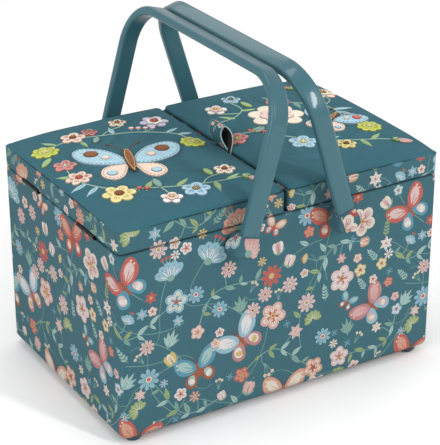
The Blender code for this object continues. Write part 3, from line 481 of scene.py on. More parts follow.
def sprig(s, r, *_):  # a stem with pairs of leaves
    leaves = (("mint", "sage"), ("lime", "leafLine"), ("sage", "leafLine"))[int(r * 10) % 3]
    s.stroke("stem", [(0.0, -r), (0.06 * r, 0.0), (0.0, 0.7 * r)], 0.09 * r + 0.1)
    for k in range(4):
        for side in (-1, 1):
            s.leaf(*leaves, 0.03 * r, -0.7 * r + 0.4 * r * k, 0.62 * r * (1 - 0.1 * k), 0.24 * r,
                   pi / 2 - side * 0.85)
    s.leaf(*leaves, 0.0, 0.6 * r, 0.6 * r, 0.24 * r, pi / 2)


flowerInks = [row.split() for row in (
    "cream blush rose yellow", "pink blush rose mustard", "sky white deepBlue coral", "coral peach red yellow",
    "white pink rose mustard", "yellow cream mustard rust", "blush cream coral rust", "pink cream coral yellow",
    "blush white rose mustard", "peach cream coral rust", "white blush coral rust", "sky cream blue coral")]
wingInks = [row.split() for row in (
    "coral peach red cream", "sky white rose yellow", "peach cream coral sky", "rose pink sky cream",
    "coral blush blue white", "blue mint rust white")]
leafInks = [row.split() for row in ("mint sage", "sage leafLine", "lime leafLine")]
tendrilInks = [row.split() for row in ("mint leafLine", "mint leafLine", "sage leafLine", "lime leafLine")]


def isFree(s, x, y, r):  # looks past the tile's edges too
    for a, b, other in s.spots:
        dx, dy = abs(x - a) % printTile["wide"], abs(y - b) % printTile["high"]
        if hypot(min(dx, printTile["wide"] - dx), min(dy, printTile["high"] - dy)) < r + other:
            return False
    return True


def drawMotif(s, draw, x, y, r, turn, ink):
    s.move(x, y, turn)
    draw(s, r, *ink)
    s.move(0.0, 0.0)


def addMotif(s, draw, x, y, r, turn, ink):  # where there is room
    free = isFree(s, x, y, r * 0.92)
    if free:
        s.spots.append((x, y, r * 0.92))
        drawMotif(s, draw, x, y, r, turn, ink)
    return free


def addSpray(s, dice, x, y, turn, hand):  # a curved stem with leaves, side shoots and flowers
    reach = dice.uniform(56.0, 68.0)

    def along(share):
        b = hand * (17.0 * sin(pi * share) - 8.0 + 4.0 * sin(2 * pi * share))
        return placed([(reach * (share - 0.5), b)], x, y, turn)[0]

    s.stroke("stem", [along(k / 16) for k in range(17)], 1.0, 0.6)
    inks = dice.sample(flowerInks, 5)
    addMotif(s, dice.choice((openFlower, daisy)), *along(1.0), dice.uniform(7.6, 9.8), dice.uniform(0, 6), inks[0])
    addMotif(s, dice.choice((openFlower, tulip, starFlower)), *along(0.0), dice.uniform(5.0, 6.6),
             dice.uniform(0, 6), inks[1])
    for number, share in enumerate((0.22, 0.5, 0.76)):
        side = 1 if number % 2 else -1
        base = along(share)
        bend = turn + side * hand * dice.uniform(0.85, 1.2)
        tip = polar(dice.uniform(12.0, 17.0), bend, *base)
        middle = ((base[0] + tip[0]) / 2 - side * 1.6 * sin(bend), (base[1] + tip[1]) / 2 + side * 1.6 * cos(bend))
        draw = dice.choice((openFlower, daisy, starFlower, fanFlower, berries, tulip))
        r = dice.uniform(4.4, 6.6)
        if isFree(s, *tip, r * 0.9):
            s.stroke("stem", [base, middle, tip], 0.8, 0.7)
            facing = bend - pi / 2 if draw in (fanFlower, berries, tulip) else dice.uniform(0, 6)
            addMotif(s, draw, *tip, r, facing, inks[2 + number])
    for k in range(5):
        for side in (-1, 1):
            foot = along(0.14 + 0.17 * k)
            lean = turn + side * 0.75 + dice.uniform(-0.15, 0.15)
            long = dice.uniform(6.5, 11.5)
            tip = polar(long * 0.6, lean, *foot)
            if isFree(s, *tip, long * 0.3):
                s.leaf(*dice.choice(leafInks), *foot, long, long * 0.36, lean)
                s.spots.append((*tip, long * 0.32))


def addTendril(s, dice):  # a long thin stem that wanders behind the flowers and curls at its end
    x, y, heading = dice.uniform(0, printTile["wide"]), dice.uniform(0, printTile["high"]), dice.uniform(0, 6.3)
    bend, path = dice.choice((-1, 1)) * dice.uniform(0.03, 0.06), []
    steps = dice.randrange(20, 30)
    for k in range(steps):
        path.append((x, y, heading))
        heading += bend * (1.0 if k < steps - 8 else -3.0 - 0.7 * (k - steps + 8))
        x, y = polar(3.0, heading, x, y)
    s.stroke("stem", [p[:2] for p in path], 0.6, 0.6)
    return path[4:-9:4]


def addLeaves(s, dice, path):  # along a stem, where there is room
    pair = dice.choice(tendrilInks)
    for x, y, heading in path:
        for side in (-1, 1):
            long, lean = dice.uniform(9.0, 13.5), heading + side * dice.uniform(0.55, 0.8)
            tip = polar(long * 0.6, lean, x, y)
            if isFree(s, *tip, long * 0.4):
                s.leaf(*pair, x, y, long, long * 0.4, lean)
                s.spots.append((*tip, long * 0.36))


largeFillers = ((butterfly, 16.0, 18.5, 7), (fanFlower, 12.5, 14.5, 6), (openFlower, 10.5, 12.0, 6),
                (frond, 8.0, 9.0, 4), (clover, 7.5, 8.5, 4), (butterfly, 8.0, 9.0, 3), (tulip, 7.5, 8.5, 6))
smallFillers = ((daisy, 6.0, 7.0, 7), (sprig, 6.0, 7.0, 6), (starFlower, 4.8, 5.8, 10), (berries, 4.6, 5.2, 8),
                (openFlower, 4.8, 5.6, 8), (spark, 3.4, 3.9, 12), (openFlower, 3.6, 4.4, 16), (daisy, 3.6, 4.2, 10))


def fillGaps(s, dice, fillers):
    for draw, least, most, count in fillers:
        for _ in range(count):
            for attempt in range(printTile["tries"]):
                r = dice.uniform(least, most)
                x, y = dice.uniform(0, printTile["wide"]), dice.uniform(0, printTile["high"])
                if addMotif(s, draw, x, y, r, dice.uniform(-0.9, 0.9),
                            dice.choice(wingInks if draw is butterfly else flowerInks)):
                    break


def boxed(shapes, grow=1.0):  # each outline with the corners of the box round it
    tile = []
    for ink, shape in shapes:
        shape = [(x * grow, y * grow) for x, y in shape]
        xs, ys = zip(*shape)
        tile.append((ink, shape, (min(xs), min(ys), max(xs), max(ys))))
    return tile


def drawTile():
    s, dice = Sketch(), random.Random(printTile["seed"])
    tendrils = [addTendril(s, dice) for _ in range(printTile["tendrils"])]
    columns, rows = printTile["sprays"]
    stepX, stepY = printTile["wide"] / columns, printTile["high"] / rows
    for row in range(rows):
        for column in range(columns):
            x = stepX * (column + 0.25 + 0.5 * (row % 2)) + dice.uniform(-5, 5)
            y = stepY * (row + 0.5) + dice.uniform(-4, 4)
            addSpray(s, dice, x, y, dice.uniform(-0.7, 0.7) + pi * dice.randrange(2), dice.choice((-1, 1)))
    fillGaps(s, dice, largeFillers)
    for path in tendrils[::3] + tendrils[1::3]:
        addLeaves(s, dice, path)
    fillGaps(s, dice, smallFillers)
    print("print drawn:", len(s.shapes), "outlines")
    return boxed(s.shapes, printTile["grow"])


# helpers for pieces made by hand

def only(*pieces):  # select these alone, the first one active
    bpy.ops.object.select_all(action="DESELECT")
    for piece in pieces:
        piece.select_set(True)
    bpy.context.view_layer.objects.active = pieces[0]


def begin(kind, **facts):
    bpy.ops.object.select_all(action="DESELECT")
    getattr(bpy.ops.mesh, "primitive_" + kind + "_add")(**facts)
    return bpy.context.object


def beginGrid(cells):
    return begin("grid", x_subdivisions=cells[0], y_subdivisions=cells[1], size=2.0)


def join(*pieces):
    only(*pieces)
    bpy.ops.object.join()
    return pieces[0]


def meshOf(name, points, faces):
    mesh = bpy.data.meshes.new(name)
    mesh.from_pydata([Vector(p) * mm for p in points], [], faces)
    return mesh


def settle(piece, name, material, smooth=35.0):  # apply the place, name it and smooth it
    only(piece)
    bpy.ops.object.transform_apply(location=True, rotation=True, scale=True)
    piece.name = piece.data.name = name
    piece.data.materials.clear()
    piece.data.materials.append(material)
    bpy.ops.object.shade_smooth_by_angle(angle=radians(smooth))
    return piece


def carry(piece, body, replaced=None):
    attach(piece, body)
    if replaced:
        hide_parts(replaced)
    return piece


def applyAll(piece):
    only(piece)
    for modifier in list(piece.modifiers):
        bpy.ops.object.modifier_apply(modifier=modifier.name)


def thicken(piece, thick, offset, even=False):
    shell = piece.modifiers.new("thickness", "SOLIDIFY")
    shell.thickness, shell.offset, shell.use_even_offset = thick * mm, offset, even
    applyAll(piece)


def roundOff(piece):
    smoother = piece.modifiers.new("rounding", "SUBSURF")
    smoother.levels = smoother.render_levels = 1
    applyAll(piece)


def editMesh(piece):
    only(piece)
    bpy.ops.object.mode_set(mode="EDIT")
    bpy.ops.mesh.select_mode(type="VERT")
    bpy.ops.mesh.select_all(action="SELECT")


def outOfEdit():
    bpy.ops.object.mode_set(mode="OBJECT")


def editPlate(wide, deep, y, z, corner, segments):  # a flat rectangle with rounded corners, in edit mode
    piece = begin("plane", size=1.0, location=(0.0, y * mm, z * mm))
    piece.scale = (wide * mm, deep * mm, 1.0)
    bpy.ops.object.transform_apply(location=True, rotation=True, scale=True)
    editMesh(piece)
    bpy.ops.mesh.bevel(offset=corner * mm, segments=segments, affect="VERTICES")
    return piece


filling = {"frames": 20, "mass": 0.2, "quality": 5, "bending": 0.4}


def inflate(piece, pinned, pressure, stiffness, cap):  # cloth blown up a little, then held
    piece.vertex_groups.new(name="sewn").add(pinned, 1.0, "REPLACE")
    rest = [v.co.copy() for v in piece.data.vertices]
    blown = piece.modifiers.new("cloth", "CLOTH")
    facts = blown.settings
    facts.use_pressure, facts.uniform_pressure_force = True, pressure
    facts.effector_weights.gravity = 0.0
    facts.vertex_group_mass = "sewn"
    facts.mass, facts.quality = filling["mass"], filling["quality"]
    facts.tension_stiffness = facts.compression_stiffness = facts.shear_stiffness = stiffness
    facts.bending_stiffness = filling["bending"]
    blown.point_cache.frame_start, blown.point_cache.frame_end = 1, filling["frames"]
    for step in range(1, filling["frames"] + 1):
        bpy.context.scene.frame_set(step)
    applyAll(piece)
    bpy.context.scene.frame_set(1)
    for v, was in zip(piece.data.vertices, rest):
        move = v.co - was
        if move.length > cap * mm:
            v.co = was + move * (cap * mm / move.length)
    piece.vertex_groups.clear()


def ripple(x, y, z, amount, wide=26.0):
    return noise.noise(Vector((x, y, z)) / wide) * amount


# wrapping flat cloth round a rounded block

def level(low, high, radii, z, out, up, inset=0.0, share=1.0):
    # one rounded rectangle of a loft: its corners in plan, its height and which way its cloth faces
    return {"low": (low[0] + inset, low[1] + inset), "high": (high[0] - inset, high[1] - inset),
            "radii": [max(r * share, 0.02) for r in radii], "z": z, "facing": (out, up)}


def legLengths(lev):
    (x0, y0), (x1, y1), (r0, r1) = lev["low"], lev["high"], lev["radii"]
    wide, deep = x1 - x0 - r0 - r1, y1 - y0
    return [wide, r1 * pi / 2, deep - 2 * r1, r1 * pi / 2, wide, r0 * pi / 2, deep - 2 * r0, r0 * pi / 2]


def outlinePoint(lev, leg, share):
    (x0, y0), (x1, y1), (r0, r1) = lev["low"], lev["high"], lev["radii"]
    if leg % 2 == 0:
        start, end, facing = (((x0 + r0, y0), (x1 - r1, y0), (0, -1)), ((x1, y0 + r1), (x1, y1 - r1), (1, 0)),
                              ((x1 - r1, y1), (x0 + r0, y1), (0, 1)),
                              ((x0, y1 - r0), (x0, y0 + r0), (-1, 0)))[leg // 2]
        return (start[0] + (end[0] - start[0]) * share, start[1] + (end[1] - start[1]) * share), facing
    x, y, r = ((x1 - r1, y0 + r1, r1), (x1 - r1, y1 - r1, r1), (x0 + r0, y1 - r0, r0),
               (x0 + r0, y0 + r0, r0))[leg // 2]
    angle = pi / 2 * (leg // 2 - 1 + share)
    return polar(r, angle, x, y), (cos(angle), sin(angle))


class Wrap:  # a stack of levels that a flat cloth is laid round, u along the outline and v up the stack
    def __init__(self, levels, base, cornerSteps=5):
        self.levels = levels
        self.heights = [0.0]
        for lower, upper in zip(levels, levels[1:]):
            step = hypot(upper["z"] - lower["z"], upper["low"][1] - lower["low"][1])
            self.heights.append(self.heights[-1] + max(step, 0.05))
        self.legs = legLengths(levels[base])
        self.starts = [sum(self.legs[:k]) for k in range(8)]
        self.around = sum(self.legs)
        self.folds = []
        for leg, (start, long) in enumerate(zip(self.starts, self.legs)):
            steps = cornerSteps if leg % 2 else 1
            self.folds += [start + long * k / steps for k in range(steps)]
            if not leg % 2:
                self.folds += [start + 0.6, start + long - 0.6]

    def middleOf(self, leg):
        return self.starts[leg] + self.legs[leg] / 2

    def lay(self, u, v):
        u %= self.around
        leg = bisect_right(self.starts, u) - 1
        share = min((u - self.starts[leg]) / self.legs[leg], 1.0)
        row = between(bisect_right(self.heights, v) - 1, 0, len(self.levels) - 2)
        mix = (v - self.heights[row]) / (self.heights[row + 1] - self.heights[row])
        below, above = self.levels[row], self.levels[row + 1]
        p, facing = outlinePoint(below, leg, share)
        q, facing = outlinePoint(above, leg, share)
        out, up = (a * (1 - mix) + b * mix for a, b in zip(below["facing"], above["facing"]))
        where = Vector((p[0] + (q[0] - p[0]) * mix, p[1] + (q[1] - p[1]) * mix,
                        below["z"] + (above["z"] - below["z"]) * mix))
        return where, Vector((facing[0] * out, facing[1] * out, up)).normalized()


def cutCloth(left, right, low, high, folds, creases, offset, tile):
    # the printed cloth of one panel, cut flat: its points, its triangles and their colours
    points = [(left, low), (right, low), (right, high), (left, high)]
    edges, loops, colours = [], [[0, 1, 2, 3]], ["teal"]
    for ends in ([((u, low), (u, high)) for u in folds if left < u < right]
                 + [((left, v), (right, v)) for v in creases if low < v < high]):
        edges.append((len(points), len(points) + 1))
        points += ends
    wide, tall = printTile["wide"] * printTile["grow"], printTile["high"] * printTile["grow"]
    for ink, shape, (x0, y0, x1, y1) in tile:
        for i in range(int((left - offset[0] - x1) // wide) + 1, int((right - offset[0] - x0) // wide) + 1):
            for j in range(int((low - offset[1] - y1) // tall) + 1, int((high - offset[1] - y0) // tall) + 1):
                dx, dy = offset[0] + i * wide, offset[1] + j * tall
                loops.append(list(range(len(points), len(points) + len(shape))))
                points += [(x + dx, y + dy) for x, y in shape]
                colours.append(ink)
    flat, _, triangles, _, _, origin = delaunay_2d_cdt([Vector(p) for p in points], edges, loops, 1, 1e-4, True)
    return flat, [(t, colours[max(o)]) for t, o in zip(triangles, origin) if 0 in o]


def clothPiece(name, cut, lay, place=None):
    # a mesh of cut cloth that lay puts in its place, with the print on its faces
    flat, kept = cut
    used = sorted({v for t, _ in kept for v in t})
    index = {v: k for k, v in enumerate(used)}
    where, normals = zip(*(lay(*flat[v]) for v in used))
    mesh = meshOf(name, where, [[index[v] for v in t] for t, _ in kept])
    shades = {ink: (*tint(*inks[ink]), 1.0) for ink in inks}
    paint = mesh.color_attributes.new("print", "FLOAT_COLOR", "CORNER")
    paint.data.foreach_set("color", [c for _, ink in kept for _ in range(3) for c in shades[ink]])
    spread = mesh.uv_layers.new(name="OFBake")
    low = [min(flat[v][k] for v in used) for k in (0, 1)]
    size = max(max(flat[v][k] for v in used) - low[k] for k in (0, 1))
    spread.data.foreach_set("uv", [(flat[v][k] - low[k]) / size for t, _ in kept for v in t for k in (0, 1)])
    if place:
        mesh.transform(place)
        normals = [place.to_3x3() @ n for n in normals]
    mesh.shade_smooth()
    mesh.normals_split_custom_set_from_vertices(normals)
    mesh.materials.append(finishes["print"])
    return linked(name, mesh)


def shrunk(inset):  # how far a corner's rounding goes at an inset
    return 1 - inset / (box["wall"] + 0.1)


def boxLevels():
    rim, edge, fold, wall, puff = box["rim"], box["edge"], box["fold"], box["wall"], box["puff"]
    rows = [(box["low"], 0, -1, box["hem"], 0.0)]
    for a in quarter(5):
        inset = edge * (1 - sin(a))
        rows.append((box["low"] + edge * (1 - cos(a)), sin(a), -cos(a), inset, 1 - inset / box["hem"]))
    rows.append((rim - fold - 2.2, 1, 0))
    for a in quarter(4):
        inset = fold * (1 - cos(a))
        rows.append((rim - fold + (fold + puff) * sin(a), cos(a), sin(a), inset, shrunk(inset)))
    rows += [(rim + puff * share, 0, 1, inset, shrunk(inset))
             for inset, share in ((2.0, 0.9), (2.6, 0.6), (wall - 0.4, 0.0))]
    rows.append((rim - 0.5, -1, 0, wall, 0.01))
    low, high = (-box["halfLength"], -box["halfDepth"]), (box["halfLength"], box["halfDepth"])
    return [level(low, high, (box["corner"],) * 2, *row) for row in rows]


def lidCorners(side):
    return (box["corner"], lid["inner"])[::-side]


def lidLevels(side):
    base, top, fold, wall, puff = lid["low"], lid["high"], box["fold"], box["wall"], lid["puff"]
    rows = [(base + 0.5, -1, 0, wall, 0.01)]
    rows += [(base - puff * share, 0, -1, inset, shrunk(inset))
             for inset, share in ((wall - 0.4, 0.0), (2.6, 0.6), (2.0, 0.9))]
    for a in quarter(4):
        inset = fold * (1 - sin(a))
        rows.append((base + fold - (fold + puff) * cos(a), sin(a), -cos(a), inset, shrunk(inset)))
    rows += [(base + fold + 2.2, 1, 0), (top - 0.9, 1, 0)]
    rows += [(top - 0.9 * (1 - sin(a)), cos(a), sin(a), 0.9 * (1 - cos(a)), 0.95) for a in quarter(3)[1:]]
    rows += [(top + 0.1, 0, 1, inset, shrunk(inset)) for inset in (1.6, wall - 0.4)]  # glued down under the pad
    left, right = sorted((side * box["halfLength"], side * lid["split"]))
    return [level((left, -box["halfDepth"]), (right, box["halfDepth"]), lidCorners(side), *row) for row in rows]


hinge = {"length": 31.0, "spacing": 107.0, "groove": 2.35, "room": 1.0}


def hingeEnds():
    half = hinge["length"] / 2 + hinge["room"]
    return [toward * hinge["spacing"] / 2 + end for toward in faces.values() for end in (-half, half)]


def pressGrooves(where):  # the cloth is flat over the hinges' leaves and gives way to their knuckles
    ends = hingeEnds()
    if abs(where.x) < 100 or not (ends[0] <= where.y <= ends[1] or ends[2] <= where.y <= ends[3]):
        return where
    where.z = max(where.z, lid["low"]) if where.z > box["seam"] else min(where.z, box["rim"])
    axisX = box["halfLength"] if where.x > 0 else -box["halfLength"]
    dx, dz = where.x - axisX, where.z - box["seam"]
    near = hypot(dx, dz)
    if near >= hinge["groove"]:
        return where
    if near < 0.05:
        dx, dz, near = -0.05 if axisX > 0 else 0.05, 0.0, 0.05
    k = hinge["groove"] / near
    return Vector((axisX + dx * k, where.y, box["seam"] + dz * k))


def hingeFolds(wrap, leg):  # cuts across an end of the box where its hinges start and stop
    runs = [y + box["halfDepth"] if leg == 2 else box["halfDepth"] - y for y in hingeEnds()]
    return [wrap.starts[leg] + run - box["corner"] + step for run in runs for step in (-0.05, 0.05)]


def layPanels(name, wrap, hingeLegs, offset, body, tile):  # printed cloth on four sides
    folds = wrap.folds + [u for leg in hingeLegs for u in hingeFolds(wrap, leg)]
    folds += [u - wrap.around for u in folds]

    def lay(u, v):
        where, facing = wrap.lay(u, v)
        return pressGrooves(where), facing

    for face, (first, last) in {"front": (7, 1), "right": (1, 3), "back": (3, 5), "left": (5, 7)}.items():
        left, right = wrap.middleOf(first), wrap.middleOf(last)
        if face in ("front", "left"):  # the print meets itself at the back
            left -= wrap.around
        if face == "left":
            right -= wrap.around
        cut = cutCloth(left, right, 0.0, wrap.heights[-1], folds, wrap.heights, offset, tile)
        piece = carry(clothPiece(f"{name}_{face}", cut, lay), body, name)
        (right - left) * mm


def makeCovers(tile):
    layPanels("body_cover", Wrap(boxLevels(), 7), (2, 6), (31.0, 12.0), "box", tile)
    print("box covered with printed cloth")
    for name, side in sides.items():
        layPanels(name + "_lid_band", Wrap(lidLevels(side), 9), (6,) if side < 0 else (2,),
                  (88.0 + 57.0 * side, 101.0 + 33.0 * side), name + "_lid", tile)
    print("lid bands covered with printed cloth")


# padded lid tops

pad = {"inset": 0.5, "base": 203.6, "cells": (34, 46), "pressure": 3.2, "cap": 2.4, "stiffness": 9.0,
       "edge": ((1.2, 0.0), (0.2, 0.6), (-0.1, 1.9), (0.4, 3.4), (1.4, 4.7), (3.0, 5.5)),
       "corner": 2.0, "droop": 5.2, "ear": 0.16, "fade": (12.0, 5.0), "wave": 0.7}


def lidOutline(side, inset):  # middle, half sizes and corner radii of a lid seen from above
    middle = side * (box["halfLength"] + lid["split"]) / 2
    half = ((box["halfLength"] - lid["split"]) / 2 - inset, box["halfDepth"] - inset)
    return middle, half, [max(r - inset, 0.5) for r in lidCorners(side)]


def gridPlace(v, cells, deepest):  # a grid point's ring, from the edge inwards, and its place on it, -1 to 1
    steps = [round((c + 1) * count / 2) for c, count in zip(v.co, cells)]
    ring = min(*steps, *(count - n for n, count in zip(steps, cells)), deepest)
    return ring, [(n - ring) / (count - 2 * ring) * 2 - 1 for n, count in zip(steps, cells)]


def roundedPlace(across, half, radii):  # pulls a grid's corner in to the outline's rounding
    x, y = across[0] * half[0], across[1] * half[1]
    r = radii[0] if x < 0 else radii[1]
    dx, dy = abs(x) - (half[0] - r), abs(y) - (half[1] - r)
    if dx > 0 and dy > 0:
        k = max(dx, dy) / hypot(dx, dy)
        return (half[0] - r + dx * k) * (1 if x > 0 else -1), (half[1] - r + dy * k) * (1 if y > 0 else -1)
    return x, y


def makePad(name, side):
    deepest, pinned = len(pad["edge"]) - 1, []
    piece = beginGrid(pad["cells"])
    for v in piece.data.vertices:
        ring, across = gridPlace(v, pad["cells"], deepest)
        inset, rise = pad["edge"][ring]
        middle, half, radii = lidOutline(side, pad["inset"] + inset)
        x, y = roundedPlace(across, half, [min(r, pad["corner"]) for r in radii])
        x += middle
        corner = Vector((side * box["halfLength"], box["halfDepth"] if y > 0 else -box["halfDepth"]))
        away = (corner - Vector((x, y))).length  # the outer corners are pulled down over the band
        sag = pad["droop"] * fade(away / (pad["fade"][0] + pad["fade"][1] * ring)) * min(ring, 1)
        ear, swell = sag * pad["ear"] * 0.7, 0.0
        if ring == deepest:  # soft waves, and small creases towards the corners
            ear, swell = 0.0, (1 - across[0] ** 6) * (1 - across[1] ** 6)
            rise += ripple(x, y, side, pad["wave"], 34.0) + ripple(x, y, side, 1.2, 9.0) * fade(away / 20)
        v.co = Vector((x + side * ear, y + (ear if y > 0 else -ear), pad["base"] + rise - sag + 0.5 * swell)) * mm
        if ring < deepest - 1:
            pinned.append(v.index)
    settle(piece, f"{name}_lid_padded_top", finishes["plain"], 80.0)
    inflate(piece, pinned, pad["pressure"], pad["stiffness"], pad["cap"])
    roundOff(piece)
    carry(piece, name + "_lid", name + "_lid_pad")
    print("padded top:", name, round(max(v.co.z for v in piece.data.vertices) / mm, 2), "mm high")
    return piece


# felt pieces and embroidery on the lids, laid out in millimetres across and up the picture

# rim is how much darker the felt's side walls are painted, a painted shade along each piece's edge
felt = {"thick": 0.95, "sink": 0.7, "cell": 4.0, "swell": 0.35, "reach": 5.0, "rim": 0.38, "turn": radians(-31.0),
        "rows": ((0.0, 0.5), (0.16, 0.84), (0.55, 1.0))}
stitch = {"long": 2.4, "pitch": 3.7, "inset": 2.1, "half": 0.34}
vine = {"pitch": 2.3, "half": 0.62, "slant": 0.22}
yarns = dict(inks, brown=(126, 76, 40), bark=(96, 58, 38), dark=(48, 48, 56), leaf=(146, 172, 108),
             vine=(152, 180, 158), powder=(160, 194, 208), skin=(226, 202, 184), lilac=(190, 186, 206),
             canary=(226, 210, 146), chalk=(226, 220, 216), acid=(190, 198, 88), cream=(228, 216, 196),
             rose=(198, 134, 130), coral=(190, 92, 80), blush=(226, 196, 188), yellow=(214, 182, 100),
             olive=(112, 122, 52), wine=(132, 62, 58), slate=(72, 104, 128))


class Layer:  # felt or thread gathered into one mesh, each piece with its colour
    def __init__(self):
        self.points, self.faces, self.shades = [], [], []

    def add(self, points, faces, ink, light=1.0):
        start = len(self.points)
        self.points += points
        self.faces += [[start + k for k in face] for face in faces]
        self.shades += [(*(c * light for c in tint(*yarns[ink])), 1.0)] * len(faces)

    def piece(self, name, finish, body):
        mesh = meshOf(name, self.points, self.faces)
        paint = mesh.color_attributes.new("yarn", "FLOAT_COLOR", "CORNER")
        paint.data.foreach_set("color", [c for face, shade in zip(self.faces, self.shades)
                                         for _ in face for c in shade])
        work = bmesh.new()
        work.from_mesh(mesh)
        bmesh.ops.remove_doubles(work, verts=work.verts, dist=0.01 * mm)
        work.to_mesh(mesh)
        work.free()
        mesh.materials.append(finishes[finish])
        made = linked(name, mesh)
        only(made)
        bpy.ops.object.shade_smooth_by_angle(angle=radians(50.0))
        return carry(made, body)


def shifted(outline, distance):  # moved inwards
    moved = []
    for k, (x, y) in enumerate(outline):
        (x0, y0), (x1, y1) = outline[k - 1], outline[(k + 1) % len(outline)]
        size = hypot(x1 - x0, y1 - y0) or 1.0
        moved.append((x - (y1 - y0) / size * distance, y + (x1 - x0) / size * distance))
    return moved


def holds(outline, p):  # whether a point is inside an outline
    inside = False
    for (x0, y0), (x1, y1) in zip(outline, outline[1:] + outline[:1]):
        if (y0 > p.y) != (y1 > p.y) and p.x < x0 + (x1 - x0) * (p.y - y0) / (y1 - y0):
            inside = not inside
    return inside


def walk(path, pitch, closed=False):  # points and headings every pitch along a path
    path = [Vector(p) for p in path] + ([Vector(path[0])] if closed else [])
    steps = [(b - a).length for a, b in zip(path, path[1:])]
    total = sum(steps)
    count = max(int(total / pitch), 1)
    found, k, done = [], 0, 0.0
    for n in range(count):
        want = total * (n + 0.5) / count
        while k < len(steps) - 1 and done + steps[k] < want:
            done += steps[k]
            k += 1
        heading = (path[k + 1] - path[k]).normalized()
        found.append((path[k] + heading * (want - done), heading))
    return found


def curve(stations, steps=10):  # a smooth path through the stations
    points = [Vector(p) for p in (stations[0], *stations, stations[-1])]
    path = []
    for a, b, c, d in zip(points, points[1:], points[2:], points[3:]):
        for t in (n / steps for n in range(steps)):
            path.append((b * 2 + (c - a) * t + (a * 2 - b * 5 + c * 4 - d) * t * t
                         + (b * 3 - a - c * 3 + d) * t * t * t) * 0.5)
    return path + [points[-1]]


def lobed(x, y, r, petals, depth, turn=0.0):  # a round outline with petals
    return [polar(r * (1 - depth + depth * abs(cos(petals * a / 2)) ** 0.7), a + turn, x, y)
            for a in angles(petals * 10)]


